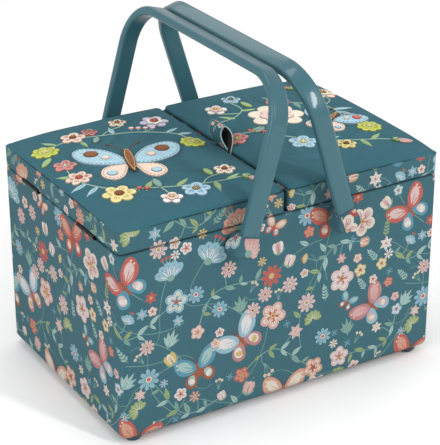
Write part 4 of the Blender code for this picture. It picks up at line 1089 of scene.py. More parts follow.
class Needlework:  # what is sewn on one lid
    def __init__(self, name, side, ground):
        self.name, self.ground = name, ground
        self.middle = lidOutline(side, 0.0)[0]
        self.layers, self.threads = {}, Layer()

    def onLid(self, *places):
        return placed(places, self.middle, 0.0, felt["turn"])

    def level(self, x, y, stack=0.0, inset=0.0):
        return self.ground(x, y) + stack * felt["thick"] + felt["swell"] * (1 - fade(inset / felt["reach"]))

    def felt(self, group, outline, ink, stack=0, line=None, inset=stitch["inset"]):
        outline = leftTurning(self.onLid(*outline))
        layer = self.layers.setdefault(group, Layer())
        count = len(outline)
        points = [(x, y, self.ground(x, y) + stack * felt["thick"] - felt["sink"]) for x, y in outline]
        for shift, share in felt["rows"]:
            points += [(x, y, self.level(x, y, stack + share)) for x, y in shifted(outline, shift)]
        # the side walls take the colour times rim: painted shade under the felt's edge
        layer.add(points, bands(3, count), ink, felt["rim"])
        top = shifted(outline, felt["rows"][-1][0])
        xs, ys = zip(*top)
        cell, inner = felt["cell"], []
        for i in range(int((max(xs) - min(xs)) / cell) + 1):
            for j in range(int((max(ys) - min(ys)) / cell) + 1):
                x, y = min(xs) + (i + 0.5 * (j % 2)) * cell, min(ys) + j * cell
                if min(hypot(x - a, y - b) for a, b in top) > 0.4 * cell:
                    inner.append((x, y))
        flat, _, triangles, *_ = delaunay_2d_cdt([Vector(p) for p in top + inner], [], [list(range(count))],
                                                 0, 1e-5, False)
        far = [min(hypot(p.x - a, p.y - b) for a, b in top) for p in flat]
        layer.add([(p.x, p.y, self.level(p.x, p.y, stack + 1, d)) for p, d in zip(flat, far)],
                  [list(t) for t in triangles if holds(top, sum((flat[v] for v in t), Vector((0, 0))) / 3)], ink)
        if line:  # a running stitch round the edge
            for p, heading in walk(shifted(outline, inset), stitch["pitch"], True):
                step = heading * stitch["long"] / 2
                self.strand([p - step, p, p + step], stitch["half"], line, stack + 1, inset)

    def strand(self, path, half, ink, stack=0.0, inset=0.0):  # one short length of thread
        points, last, sides = [], len(path) - 1, 6
        for k, p in enumerate(path):
            ahead = (path[min(k + 1, last)] - path[max(k - 1, 0)]).normalized()
            slim, rise = (0.4, -0.25) if k in (0, last) else (1.0, 0.25)
            z = self.level(p[0], p[1], stack, inset) + half * rise
            points += [(p[0] - ahead[1] * cos(a) * half * slim, p[1] + ahead[0] * cos(a) * half * slim,
                        z + sin(a) * half * 0.8 * slim) for a in angles(sides)]
        ends = [list(range(sides)), [last * sides + n for n in reversed(range(sides))]]
        self.threads.add(points, [f[::-1] for f in bands(last, sides)] + ends, ink)

    def line(self, start, end, ink, half=0.3, stack=0.0, inset=0.0, steps=2):
        a, b = (Vector(p) for p in self.onLid(start, end))
        self.strand([a.lerp(b, k / steps) for k in range(steps + 1)], half, ink, stack, inset)

    def ray(self, near, far, angle, x, y, *facts):
        self.line(polar(near, angle, x, y), polar(far, angle, x, y), *facts)

    def knot(self, x, y, ink, half=0.8, stack=0.0, inset=3.0):  # a French knot
        (x, y), = self.onLid((x, y))
        base, points, sides = self.level(x, y, stack, inset), [], 8
        for rise, wide in ((-0.3, 0.8), (0.35, 1.0), (0.85, 0.62), (0.8, 0.2)):
            points += [(x + cos(a) * half * wide, y + sin(a) * half * wide, base + rise * half)
                       for a in angles(sides)]
        self.threads.add(points, bands(3, sides) + [[3 * sides + n for n in range(sides)]], ink)

    def stem(self, stations, ink="vine"):
        for p, heading in walk(self.onLid(*curve(stations)), vine["pitch"]):
            step = heading * vine["pitch"] * 0.75
            side = Vector((-heading.y, heading.x)) * vine["slant"]
            self.strand([p - step - side, p, p + step + side], vine["half"], ink)

    def satinLeaf(self, x, y, long, turn, ink):  # a leaf of slanted threads
        def at(share, sway):
            wide = long * 0.36 * sin(pi * min(share, 1.0)) ** 0.8 * sway
            return placed([(long * share, wide)], x, y, turn)[0]

        steps = max(int(long / 1.15), 5)
        for share in (k / steps for k in range(steps)):
            for hand in (-0.5, 0.5):
                self.line(at(share, 0.0), at(share + 0.2, hand), ink, 0.5)
        self.line(at(0.0, 0.0), at(1.0, 0.0), "vine", 0.42, 0.25, steps=5)

    def leaf(self, group, x, y, long, turn, ink="leaf", fat=0.42, stack=0):
        outline = [(long / 2 + cos(a) * long / 2, sin(a) * abs(sin(a)) ** 0.35 * long * fat / 2)
                   for a in angles(24)]
        self.felt(group, placed(outline, x, y, turn), ink, stack)
        for k in range(4):
            self.ray(long * (0.14 + 0.2 * k), long * (0.28 + 0.2 * k), turn, x, y, "vine", 0.3, stack + 1, 2.0)

    def blossom(self, x, y, r, petals, ink, heart, core, depth=0.36, second=None):
        turn, stack = 0.3, 1
        self.felt("flowers", lobed(x, y, r, petals, depth, turn), ink)
        if second:
            self.felt("flowers", lobed(x, y, r * 0.6, petals, depth * 0.7, turn + pi / petals), second, 1)
            stack = 2
        else:
            rays = {"acid": "olive", "canary": "olive", "powder": "slate", "lilac": "slate"}.get(ink, "wine")
            for a in angles(petals, turn):
                for sway, reach in ((-0.24, 0.7), (0.0, 0.84), (0.24, 0.7)):
                    self.ray(0.36 * r, reach * r, a + sway, x, y, rays, 0.3, 1, 3.0)
        self.felt("flowers", lobed(x, y, r * 0.3, 6, 0.08), heart, stack)
        for a in angles(6):
            self.knot(*polar(r * 0.17, a, x, y), core, 0.62, stack + 1, 2.0)

    def berries(self, across, up, turn, ink, count):
        for k in range(count):
            x, y = polar(6.5 * k, turn, across, up)
            self.felt("berries", lobed(*polar(5.0, turn + pi / 2, x, y), 2.7, 6, 0.03), ink)
            self.ray(0.0, 2.6, turn + pi / 2, x, y, "vine", 0.5)

    def pod(self, x, y, long, turn, ink="pink"):
        self.leaf("flowers", x, y, long, turn, ink, 0.5)
        for lean in (0.5, -0.5):
            self.leaf("leaves", *polar(-1.5, turn, x, y), long * 0.42, turn + lean, "leaf", 0.5, 1)

    def butterfly(self, across, up, span, turn, upper, lower, spot):
        def put(*points):
            return placed(points, across, up, turn)

        k = span / 100.0
        low = curve([(2, 2), (10, -4), (26, -12), (30, -28), (20, -38), (10, -32), (4, -16), (1, -4)], 6)
        high = curve([(2, -2), (8, 14), (22, 30), (40, 36), (50, 26), (46, 8), (32, -4), (14, -8), (3, -6)], 6)
        for hand in (-1, 1):
            for shape, ink, stack in ((low, lower, 0), (high, upper, 0.7)):
                self.felt("butterfly", put(*((p.x * hand * k, p.y * k) for p in shape[:-1])), ink, stack, "dark")
            for x, y, r, ink, ring, stack in ((33, 20, 7.0, spot, "dark", 1.7), (20, -25, 5.0, upper, "chalk", 1.0),
                                              (21, 9, 4.2, lower, "dark", 1.7)):
                x, y, r = x * hand * k, y * k, r * k
                self.felt("butterfly", lobed(*put((x, y))[0], r, 6, 0.04), ink, stack)
                for a in angles(7):
                    self.line(*put(polar(r * 1.15, a, x, y), polar(r * 1.6, a, x, y)), ring, 0.26, stack, 4.0)
            feeler = put((1.5 * hand * k, 20 * k), (6 * hand * k, 34 * k), (15 * hand * k, 42 * k))
            self.stem(feeler, "bark")
            self.knot(*feeler[-1], "bark", 1.3)
        trunk = [(cos(a) * 4.2 * k * (1.1 + 0.25 * sin(a)), sin(a) * 25 * k - 1.0) for a in angles(28)]
        self.felt("butterfly", put(*trunk), "brown", 2.0, "canary", 1.3)

    def foliage(self, satin, plain):
        for x, y, long, turn, ink in satin:
            self.satinLeaf(x, y, long, radians(turn), ink)
        for x, y, long, turn, ink in plain:
            self.leaf("leaves", x, y, long, radians(turn), ink)

    def finish(self):
        for group, layer in self.layers.items():
            layer.piece(f"{self.name}_lid_felt_{group}", "felt", self.name + "_lid")
        self.threads.piece(f"{self.name}_lid_embroidery", "thread", self.name + "_lid")
        print("needlework:", self.name, len(self.threads.faces), "thread faces")


def groundOf(piece):  # the height of the padded top at a place
    tree = BVHTree.FromPolygons([v.co for v in piece.data.vertices], [p.vertices for p in piece.data.polygons])

    def height(x, y):
        hit = tree.ray_cast(Vector((x * mm, y * mm, 0.24)), Vector((0.0, 0.0, -1.0)))[0]
        return hit.z / mm if hit else pad["base"]
    return height


def sewLeftLid(work):
    for stations in (((-86, 20), (-68, 42), (-36, 54), (0, 61), (30, 57), (46, 42)),
                     ((-36, 54), (-30, 66), (-20, 74)), ((0, 61), (10, 70), (12, 80)),
                     ((-62, -22), (-50, -46), (-18, -63), (20, -59), (56, -52), (92, -36)),
                     ((20, -59), (26, -68), (30, -78)), ((56, -52), (60, -40), (72, -30))):
        work.stem(stations)
    work.butterfly(-8, -6, 96, radians(12), "powder", "skin", "brown")
    for row in ((-84, 18, 13, 8, "acid", "canary", "leaf", 0.22), (-62, 48, 12, 5, "skin", "brown", "rust"),
                (-48, 60, 8, 5, "rose", "canary", "plum"), (10, 84, 14, 6, "lilac", "coral", "plum", 0.36, "chalk"),
                (46, 38, 12, 8, "acid", "canary", "leaf", 0.2), (-24, 82, 9, 5, "cream", "mustard", "brown"),
                (-64, -14, 11, 5, "rose", "cream", "plum"), (-50, -40, 12, 6, "skin", "coral", "rust"),
                (-14, -72, 15, 6, "canary", "brown", "brown"),
                (30, -80, 10, 5, "chalk", "canary", "rose", 0.36, "blush"),
                (50, -64, 13, 5, "powder", "mustard", "deepBlue"), (74, -24, 10, 5, "cream", "rust", "brown")):
        work.blossom(*row)
    work.pod(90, -38, 20, radians(-12))
    work.berries(-10, 64, radians(5), "blush", 4)
    work.berries(2, -66, radians(-4), "coral", 2)
    work.foliage((
        (-76, 36, 15, 150, "leaf"), (-54, 40, 13, -60, "leaf"), (-26, 58, 14, 110, "powder"),
        (22, 60, 14, 52, "powder"), (33, 56, 14, 40, "powder"), (-54, -38, 15, 165, "leaf"),
        (-33, -58, 15, 240, "powder"), (-43, -51, 15, 222, "powder"), (8, -62, 16, 75, "leaf"),
        (34, -56, 16, 60, "leaf"), (66, -48, 17, -75, "leaf"), (76, -44, 15, 50, "leaf"),
    ), ((-78, 4, 17, -110, "leaf"), (64, -36, 16, 120, "leaf"), (-40, 50, 15, 265, "sage"),
        (20, -60, 18, 110, "sage")))


def sewRightLid(work):
    for stations in (((-78, -8), (-58, 10), (-50, 32), (-62, 48)), ((-52, 22), (-66, 20), (-76, 26)),
                     ((-60, -34), (-34, -22), (-4, -36), (26, -42), (58, -40), (84, -34)),
                     ((-30, 62), (-2, 50), (28, 42), (42, 18), (38, -8)), ((28, 42), (34, 56), (30, 68)),
                     ((42, 18), (56, 12), (64, 2))):
        work.stem(stations)
    for row in ((-18, 14, 27, 7, "cream", "mustard", "rose", 0.26, "blush"),
                (-16, 50, 12, 8, "rose", "canary", "plum", 0.22)):
        work.blossom(*row)
    work.butterfly(32, 4, 62, radians(-24), "powder", "skin", "coral")
    for row in ((-74, 28, 11, 5, "chalk", "canary", "rose", 0.36, "blush"),
                (-60, 54, 10, 5, "powder", "mustard", "deepBlue"),
                (28, 76, 15, 6, "skin", "mustard", "rust", 0.36, "cream"),
                (-55, -38, 11, 5, "rose", "canary", "plum"), (4, -48, 14, 5, "powder", "canary", "deepBlue"),
                (42, -52, 10, 6, "canary", "brown", "brown"), (66, -10, 12, 8, "acid", "canary", "leaf", 0.2)):
        work.blossom(*row)
    work.pod(86, -36, 18, radians(6))
    work.pod(0, 86, 18, radians(150), "coral")
    work.berries(-44, -26, radians(-8), "coral", 3)
    work.foliage((
        (-56, 8, 15, 165, "leaf"), (-50, 28, 14, 20, "leaf"), (-42, -24, 16, 60, "leaf"),
        (16, -40, 17, 60, "powder"), (22, -42, 16, 30, "powder"), (56, -40, 16, -60, "leaf"),
        (66, -38, 15, 60, "leaf"), (0, 50, 15, -70, "sage"), (20, 44, 16, -95, "powder"),
        (36, 32, 17, 20, "powder"), (38, 26, 16, -20, "powder"), (14, 46, 14, 80, "leaf"),
    ), ((-40, 36, 17, 130, "leaf"), (-30, -12, 17, -120, "sage"), (12, 62, 17, 120, "leaf")))


# handles

hoop = {"reach": 145.5, "far": 130.9, "thick": 8.0, "wide": 17.3, "corner": 44.0, "edge": 2.8, "drop": 8.5,
        "boss": 7.5, "steps": 28}


def extrude(y, z, steps):
    for _ in range(steps):
        bpy.ops.mesh.extrude_region_move(TRANSFORM_OT_translate={"value": (0.0, y * mm / steps, z * mm / steps)})


def spin(y, z):  # a quarter turn
    bpy.ops.mesh.spin(steps=hoop["steps"], angle=pi / 2, axis=(1.0, 0.0, 0.0), center=(0.0, y * mm, z * mm))


def makeHandle(name, side):
    half, top = hoop["far"] - hoop["thick"] / 2, hoop["reach"] - hoop["thick"] / 2
    bend = hoop["corner"] - hoop["thick"] / 2
    leg, run = top - bend + hoop["drop"], half - bend
    piece = editPlate(hoop["wide"], hoop["thick"], -half, -hoop["drop"], hoop["edge"], 7)
    extrude(0.0, leg, 4)
    spin(-run, top - bend)
    extrude(2 * run, 0.0, 6)
    spin(run, top - bend)
    extrude(0.0, -leg, 4)
    bpy.ops.mesh.select_all(action="SELECT")
    bpy.ops.mesh.remove_doubles(threshold=0.00001)
    bpy.ops.mesh.normals_make_consistent(inside=False)
    outOfEdit()
    near, far = box["halfDepth"] + 0.6, hoop["far"] - 2.0
    bosses = [begin("cylinder", vertices=32, radius=hoop["boss"] * mm, depth=(far - near) * mm,
                    location=(0.0, toward * (near + far) / 2 * mm, 0.0), rotation=(pi / 2, 0.0, 0.0))
              for toward in faces.values()]
    join(piece, *bosses)
    piece.rotation_euler = (0.0, -side * pivot["lean"][side], 0.0)
    piece.location = (side * pivot["x"] * mm, 0.0, pivot["z"] * mm)
    settle(piece, name + "_handle_moulding", finishes["handle"], 30.0)
    carry(piece, name + "_handle", name + "_handle")
    print("handle moulded:", name)


# printed sleeves on the handles' feet

sleeve = {"half": 11.6, "near": 110.1, "far": 132.4, "low": -10.8, "high": 9.2, "round": 4.6, "shoulder": -3.0,
          "piping": 0.45, "mouth": (8.7, 119.6, 131.5), "throat": (8.35, 122.6, 131.1)}


def sleeveLevels(toward):
    def span(half, near, far):
        near, far = sorted((toward * near, toward * far))
        return (-half, near), (half, far)

    wide = (sleeve["half"], sleeve["near"], sleeve["far"])
    r, bottom, top = sleeve["round"], sleeve["low"], sleeve["high"]
    rows = [level(*span(*wide), (r, r), bottom, 0, -1, 10.6, 0.05),
            level(*span(*wide), (r, r), bottom, 0, -1, 6.0, 0.5)]
    rows += [level(*span(*wide), (r, r), bottom + r * (1 - cos(a)), sin(a), -cos(a), r * (1 - sin(a)) * 0.8)
             for a in quarter(4)]
    for share in (k / 7 for k in range(8)):
        ease = eased(share)
        ends = span(*(w + (m - w) * ease for w, m in zip(wide, sleeve["mouth"])))
        z = sleeve["shoulder"] + (top - sleeve["shoulder"]) * share
        rows.append(level(*ends, (r - 2.4 * ease,) * 2, z, 1, 0.7 * ease))
    throat = span(*sleeve["throat"])
    return rows + [level(*throat, (2.0, 2.0), top + 0.35, 0, 1), level(*throat, (2.0, 2.0), top - 1.6, -1, 0)]


def makeSleeves(name, side, tile):
    lean = Matrix.Rotation(-side * pivot["lean"][side], 4, "Y")
    place = Matrix.Translation((side * pivot["x"] * mm, 0.0, pivot["z"] * mm)) @ lean
    half, near, far = sleeve["mouth"]
    for face, toward in faces.items():
        wrap = Wrap(sleeveLevels(toward), 8, 4)
        cut = cutCloth(0.0, wrap.around, 0.0, wrap.heights[-1], wrap.folds, wrap.heights,
                       (12.0 + 40 * side, 55.0 + 31 * toward), tile)
        piece = clothPiece(f"{name}_handle_{face}_sleeve", cut, wrap.lay, place)
        carry(piece, name + "_handle", f"{name}_handle_{face}_cover")
        editPlate(2 * half, far - near, toward * (near + far) / 2, sleeve["high"], 2.2, 5)
        bpy.ops.mesh.delete(type="ONLY_FACE")
        outOfEdit()
        bpy.ops.object.convert(target="CURVE")
        piping = bpy.context.object
        piping.data.bevel_depth, piping.data.bevel_resolution = sleeve["piping"] * mm, 3
        bpy.ops.object.convert(target="MESH")
        piping = bpy.context.object
        piping.matrix_world = place
        settle(piping, f"{name}_handle_{face}_piping", finishes["edging"], 80.0)
        carry(piping, name + "_handle")
    print("sleeves sewn:", name)


# pull loop

# the strap's inner side is painted a plain dark colour as painted shade inside the fold, and its edges a pale colour
# as painted highlight
loop = {"wide": 20.5, "height": 20.0, "rise": 2.8, "root": 12.5, "spread": 5.6, "lean": 1.0, "skew": 5.0,
        "back": 9.0, "front": -17.0, "thick": 1.1, "long": 66.0, "flat": 0.075, "lining": (50, 42, 40),
        "edgeHighlight": (168, 194, 192)}


def loopPoint(share, across):  # share runs up the back end, over the fold and down the front end
    turn = pi * between((share - 0.1) / 0.8, 0.0, 1.0)
    sunk = max((0.1 - share) / 0.1, (share - 0.9) / 0.1, 0.0)
    x = lid["split"] - 0.9 + loop["lean"] * sin(turn) - loop["spread"] * sin(2 * turn) * (0.3 + 0.7 * abs(cos(turn)))
    y = loop["front"] + loop["skew"] * (1 + cos(turn)) / 2 + loop["back"] * sin(turn) + across
    return Vector((x, y, lid["high"] + loop["rise"] + loop["height"] * sin(turn) - loop["root"] * sunk))


def loopPrint():  # small flowers at the fold and foot, and pale lines along both edges, a painted highlight on the folds
    s = Sketch()
    for draw, x, y, r, ink in ((openFlower, 29.0, 5.0, 4.4, 4), (openFlower, 33.5, 13.5, 4.2, 1),
                               (starFlower, 25.5, 15.5, 3.4, 0), (openFlower, 37.0, 3.5, 3.0, 7),
                               (openFlower, 57.0, 15.0, 2.8, 1), (openFlower, 60.5, 7.0, 2.2, 5),
                               (sprig, 22.0, 10.5, 3.6, 0), (openFlower, 9.0, 6.0, 2.6, 1)):
        drawMotif(s, draw, x, y, r, 1.2 * x, flowerInks[ink])
    # pale lines painted along both edges: a painted highlight where the strap folds
    for edge in (0.75, loop["wide"] - 0.75):
        s.stroke("mint", [(0.5, edge), (33.0, edge), (loop["long"] - 0.5, edge)], 0.65, 1.0)
    return boxed(s.shapes)


def makeLoop():
    creases = [loop["wide"] * k / 4 for k in range(1, 4)]
    folds = [loop["long"] * k / 40 for k in range(1, 40)]

    def lay(u, v):
        share = u / loop["long"]
        ahead = loopPoint(min(share + 0.01, 1.0), v) - loopPoint(max(share - 0.01, 0.0), v)
        facing = ahead.cross(Vector((0.0, 1.0, 0.0))).normalized()
        return loopPoint(share, v) + facing * 0.25 * sin(pi * v / loop["wide"]), facing

    cut = cutCloth(0.0, loop["long"], 0.0, loop["wide"], folds, creases, (0.0, 0.0), loopPrint())
    piece = clothPiece("pull_loop_strap", cut, lay)
    count = len(piece.data.polygons)
    thicken(piece, loop["thick"], 0.0, True)
    paint = piece.data.color_attributes["print"]
    for face in piece.data.polygons[count:]:  # the strap's inner side is painted plain and dark as painted shade inside the fold, its edges pale as painted highlight
        for corner in face.loop_indices:
            paint.data[corner].color = (*tint(*loop["lining" if face.index < 2 * count else "edgeHighlight"]), 1.0)
    carry(piece, "right_lid", "pull_loop")
    print("pull loop folded")


# linings, pocket and pincushion inside

inside = {"x": 153.9, "y": 100.9, "floor": 15.6, "rim": 182.4, "corner": 3.0, "thick": 0.8, "wave": 0.35,
          "lidLow": 185.7, "ceiling": 198.0, "lidEnd": 9.9, "hem": 5.0, "foot": 2.6, "cell": (9.0, 11.0)}
hem = {"pitch": 4.2, "half": 1.3, "below": 3.4, "inset": 0.15}


def liningMesh(name, low, high, rim, floor, toRim):
    # walls down from the rim, a rounded foot and a floor of shrinking rings; toRim is 1 where it opens upwards
    r, foot, turned = inside["corner"], inside["foot"], inside["hem"]
    rest = abs(rim - floor) - turned - foot
    count = max(int(rest / inside["cell"][1]), 1)
    rows = [(0.0, rim), (0.0, rim - toRim * turned / 2), (0.0, rim - toRim * turned)]
    rows += [(0.0, rim - toRim * (turned + rest * k / count)) for k in range(1, count + 1)]
    rows += [(foot * (1 - cos(a)), floor + toRim * foot * (1 - sin(a))) for a in quarter(3)[1:]]
    reach = min(high[0] - low[0], high[1] - low[1]) / 2
    rows += [(foot + (reach - foot - 0.5) * k / 8, floor) for k in range(1, 9)]
    points, spans = [], []
    for leg, long in enumerate(legLengths(level(low, high, (r, r), 0, 1, 0))):
        steps = 4 if leg % 2 else max(int(long / inside["cell"][0]), 1)
        spans += [(leg, k / steps) for k in range(steps)]
    for inset, z in rows:
        lev = level(low, high, (r, r), z, 1, 0, inset, max(r - inset, 0.3) / r)
        for leg, share in spans:
            (x, y), (nx, ny) = outlinePoint(lev, leg, share)
            sway = abs(ripple(x, y, z, inside["wave"])) if abs(z - rim) > turned else 0.0
            points.append((x - nx * sway, y - ny * sway, z) if inset < foot else (x, y, z + toRim * sway))
    sides = len(spans)
    faces = bands(len(rows) - 1, sides) + [[(len(rows) - 1) * sides + k for k in range(sides)]]
    piece = linked(name, meshOf(name, points, faces if toRim < 0 else [f[::-1] for f in faces]))
    thicken(piece, inside["thick"] * 0.8, -1.0)
    return settle(piece, name, finishes["lining"], 50.0)


def hemStitches(name, low, high, z, body):
    base = level(low, high, (inside["corner"],) * 2, z, 1, 0, hem["inset"])
    points, faces, up = [], [], Vector((0, 0, 0.3))
    for leg in (0, 2, 4, 6):
        count = int(legLengths(base)[leg] / hem["pitch"])
        for share in ((k + 0.5) / count for k in range(count)):
            (x, y), (nx, ny) = outlinePoint(base, leg, share)
            along, out = Vector((-ny, nx, 0.0)), Vector((-nx, -ny, 0.0))
            faces += bands(2, 4, len(points))
            for end, rise in ((-hem["half"], 0.0), (0.0, 0.3), (hem["half"], 0.0)):
                centre = Vector((x, y, z)) + along * end + out * rise
                points += [centre + up, centre + out * 0.25, centre - up, centre - out * 0.3]
    piece = settle(linked(name, meshOf(name, points, faces)), name, finishes["piping"], 60.0)
    return carry(piece, body)


def makeLinings():
    x, y, end = inside["x"], inside["y"], inside["lidEnd"] + 0.5
    spans = {"body": ((-x, -y), (x, y), inside["rim"], inside["floor"], 1, "box"),
             "left_lid": ((-x, -y), (-end, y), inside["lidLow"], inside["ceiling"], -1, "left_lid"),
             "right_lid": ((end, -y), (x, y), inside["lidLow"], inside["ceiling"], -1, "right_lid")}
    for name, (low, high, rim, floor, toRim, body) in spans.items():
        piece = liningMesh(f"{name}_inner_cloth", low, high, rim, floor, toRim)
        carry(piece, body, name + "_lining")
        stitches = hemStitches(f"{name}_hem_stitches", low, high, rim - toRim * hem["below"], body)
        wide, deep, tall = high[0] - low[0], high[1] - low[1], abs(rim - floor)
        area = (wide * deep + 2 * (wide + deep) * tall) * mm * mm
        flat = (wide + 2 * tall) * mm, (deep + 2 * tall) * mm
        "base_board" if toRim > 0 else body + "_board"
        min(area, flat[0] * flat[1])
    print("linings sewn in")


pocket = {"low": (-124.65, -75.0), "high": (-39.65, 75.0), "seam": 7.0, "deep": 6.3, "top": 197.8,
          "floor": 191.05, "cells": (30, 52), "thick": 0.7, "binding": 1.6}


def makePocket():
    (x0, y0), (x1, y1) = pocket["low"], pocket["high"]
    piece = beginGrid(pocket["cells"])
    for v in piece.data.vertices:
        x, y = (x0 + x1) / 2 + v.co.x * (x1 - x0) / 2, (y0 + y1) / 2 + v.co.y * (y1 - y0) / 2
        drop = eased(min(min(x - x0, y - y0, y1 - y) / pocket["seam"], 1.0))
        mouth = max(0.0, 1 - (x1 - x) / 30.0)
        gather = mouth * 0.45 * sin(y * 0.42 + 0.6 * sin(y * 0.11)) * drop
        z = pocket["top"] - (pocket["deep"] - 0.5 + ripple(x, y, 7.0, 0.9, 30.0)) * drop - gather
        v.co = Vector((x, y, max(z, pocket["floor"]))) * mm
    thicken(piece, pocket["thick"], 0.0)
    settle(piece, "left_lid_pocket_cloth", finishes["plain"], 60.0)
    carry(piece, "left_lid", "left_lid_pocket")
    binding, count = Layer(), int((y1 - y0 - 4) / pocket["binding"]) + 1
    rings = [(*polar(1.0, a, x1 - 0.7, pocket["top"] - pocket["deep"] + 0.5), y0 + 2 + pocket["binding"] * k)
             for k in range(count) for a in angles(8)]
    binding.add([(x, y, z) for x, z, y in rings], bands(count - 1, 8), "coral")
    edge = binding.piece("left_lid_pocket_binding", "thread", "left_lid")
    print("pocket sewn on")


cushion = {"low": (47.15, -50.0), "high": (117.15, 50.0), "top": 197.9, "under": 188.6, "round": 12.0,
           "cells": (26, 36), "rings": ((0.0, 0.0), (-0.5, 1.6), (0.3, 3.6), (1.8, 5.2), (4.0, 6.2)),
           "pressure": 3.0, "stiffness": 8.0, "cap": 2.6, "seams": (-25.0, 0.0, 25.0), "groove": 1.6}


def makePincushion():
    (x0, y0), (x1, y1) = cushion["low"], cushion["high"]
    middle, half = (x0 + x1) / 2, ((x1 - x0) / 2 - 0.8, (y1 - y0) / 2 - 0.8)
    piece, pinned = beginGrid(cushion["cells"]), []
    for v in piece.data.vertices:
        ring, across = gridPlace(v, cushion["cells"], len(cushion["rings"]) - 1)
        inset, rise = cushion["rings"][ring]
        x, y = roundedPlace(across, (half[0] - inset, half[1] - inset), (cushion["round"],) * 2)
        v.co = Vector((middle + x, y, cushion["top"] - rise)) * mm
        if ring < 2:
            pinned.append(v.index)
    settle(piece, "right_lid_stuffed_pincushion", finishes["cushion"], 80.0)
    editMesh(piece)
    bpy.ops.mesh.flip_normals()
    outOfEdit()
    inflate(piece, pinned, cushion["pressure"], cushion["stiffness"], cushion["cap"])
    for v in piece.data.vertices:  # three seams quilt it after it is filled
        x, y = v.co.x / mm - middle, v.co.y / mm
        inner = min(1.0, (half[0] - abs(x)) / 10, (half[1] - abs(y)) / 10)
        groove = max(fade(((y - seam) / 2.2) ** 2) for seam in cushion["seams"])
        v.co.z = max(v.co.z, cushion["under"] * mm) + max(inner, 0.0) * groove * cushion["groove"] * mm
    roundOff(piece)
    carry(piece, "right_lid", "right_lid_pincushion")
    print("pincushion stuffed")


# small hardware

screw = {"x": 157.55, "spacing": 19.0, "head": 1.75, "shank": 0.82, "leaf": 0.75}


def smoothCopy(node, finish, body, smooth=30.0):  # the CAD shape, merged and smoothly shaded
    piece = linked(node, nodes[node].data.copy())
    piece.matrix_world = nodes[node].matrix_world
    editMesh(piece)
    bpy.ops.mesh.remove_doubles(threshold=0.00001)
    bpy.ops.mesh.customdata_custom_splitnormals_clear()
    outOfEdit()
    carry(settle(piece, node + "_finished", finishes[finish], smooth), body, node)


def makeHardware():
    for side in sides:
        for face in faces:
            smoothCopy(f"{side}_{face}_foot", "foot", "box", 35.0)
            for part, body in (("box_leaf", "box"), ("pin", "box"), ("lid_leaf", side + "_lid")):
                smoothCopy(f"{side}_lid_{face}_hinge_{part}", "hinge", body)
            for part in ("foot_screw", "handle_rivet", "rivet_washer"):
                smoothCopy(f"{side}_{face}_{part}", "steel", "box")
    smoothCopy("tray", "tray", "box", 35.0)
    print("hinges, feet, rivets and tray finished")


def makeScrews():
    template = begin("cone", vertices=20, radius1=screw["shank"] * mm, radius2=screw["head"] * mm,
                     depth=screw["leaf"] * mm, location=(0, 0, -screw["leaf"] / 2 * mm))
    tail = begin("cylinder", vertices=12, radius=screw["shank"] * mm, depth=4.0 * mm, location=(0, 0, -2.6 * mm))
    for turn in (0.0, pi / 2):
        slot = begin("cube", size=1.0, location=(0, 0, 0), rotation=(0, 0, turn + 0.3))
        slot.scale = (2.3 * mm, 0.42 * mm, 0.7 * mm)
        cut = template.modifiers.new("slot", "BOOLEAN")
        cut.object, cut.operation, cut.solver = slot, "DIFFERENCE", "EXACT"
    applyAll(template)
    for o in [o for o in bpy.context.scene.objects if o.name.startswith("Cube")]:
        bpy.data.objects.remove(o)
    join(template, tail)
    for side, sign in sides.items():
        for part, body, rise, flip in (("box", "box", -0.2, 0.0), ("lid", side + "_lid", 0.2, pi)):
            copies = []
            for toward, step in ((toward, step) for toward in faces.values() for step in (-0.5, 0.5)):
                copy = linked("screw", template.data.copy())
                y = toward * hinge["spacing"] / 2 + step * screw["spacing"]
                copy.location = Vector((sign * screw["x"], y, box["seam"] + rise)) * mm
                copy.rotation_euler = (flip, 0.0, 0.4 * step + 0.7 * toward)
                copies.append(copy)
            piece = settle(join(*copies), f"{side}_hinge_screws_in_{part}", finishes["steel"], 30.0)
            carry(piece, body)
    bpy.data.objects.remove(template)
    print("hinge screws driven")


# sheet under the base

underside = {"x": 133.8, "y": 80.8, "low": 7.45, "thick": 0.5, "wave": 0.25, "staple": 9.0, "pitch": 26.0,
             "cells": (54, 32), "wire": 0.25, "inset": 5.0}


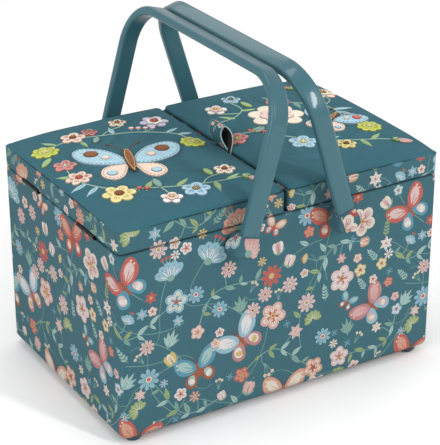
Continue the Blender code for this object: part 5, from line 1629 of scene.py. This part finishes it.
def makeUnderside():
    piece = beginGrid(underside["cells"])
    for v in piece.data.vertices:
        x, y = v.co.x * underside["x"], v.co.y * underside["y"]
        v.co = Vector((x, y, underside["low"] + underside["wave"] * (0.5 + ripple(x, y, 3.0, 0.5, 34.0)))) * mm
    thicken(piece, underside["thick"], 1.0)
    settle(piece, "base_sheet_cloth", finishes["base"], 60.0)
    carry(piece, "box", "base_sheet")
    wires = bpy.data.curves.new("base_sheet_staples", "CURVE")
    wires.dimensions, wires.bevel_depth, wires.bevel_resolution = "3D", underside["wire"] * mm, 2
    corner = underside["x"], underside["y"]
    edge = level((-corner[0], -corner[1]), corner, (1.0, 1.0), 0, 0, -1, underside["inset"])
    for leg in (0, 2, 4, 6):
        count = int(legLengths(edge)[leg] / underside["pitch"])
        for k in range(count):
            (x, y), (outX, outY) = outlinePoint(edge, leg, (k + 0.5) / count)
            wire = wires.splines.new("POLY")
            wire.points.add(3)
            for point, run, rise in zip(wire.points, (-0.5, -0.46, 0.46, 0.5), (1.0, 0.1, 0.1, 1.0)):
                run *= underside["staple"]
                point.co = (*(Vector((x - outY * run, y + outX * run, underside["low"] + rise)) * mm), 1.0)
    only(linked("base_sheet_staples", wires))
    bpy.ops.object.convert(target="MESH")
    staples = settle(bpy.context.object, "base_sheet_staples", finishes["steel"], 60.0)
    carry(staples, "box")
    print("base sheet stapled on")


def paintBoards():
    boards = ("front_board", "back_board", "left_end_board", "right_end_board", "base_board", "left_lid_board",
              "right_lid_board")
    for names, finish in ((boards, "board"), (("front_tray_ledge", "back_tray_ledge"), "wood")):
        for name in names:
            nodes[name].data.materials.clear()
            nodes[name].data.materials.append(finishes[finish])


makeStage()
makeFinishes()
tile = drawTile()
makeCovers(tile)
makeLoop()
for sideName, sideSign in sides.items():
    work = Needlework(sideName, sideSign, groundOf(makePad(sideName, sideSign)))
    (sewLeftLid if sideSign < 0 else sewRightLid)(work)
    work.finish()
    makeHandle(sideName, sideSign)
    makeSleeves(sideName, sideSign, tile)
makeLinings()
makePocket()
makePincushion()
makeHardware()
makeScrews()
makeUnderside()
paintBoards()
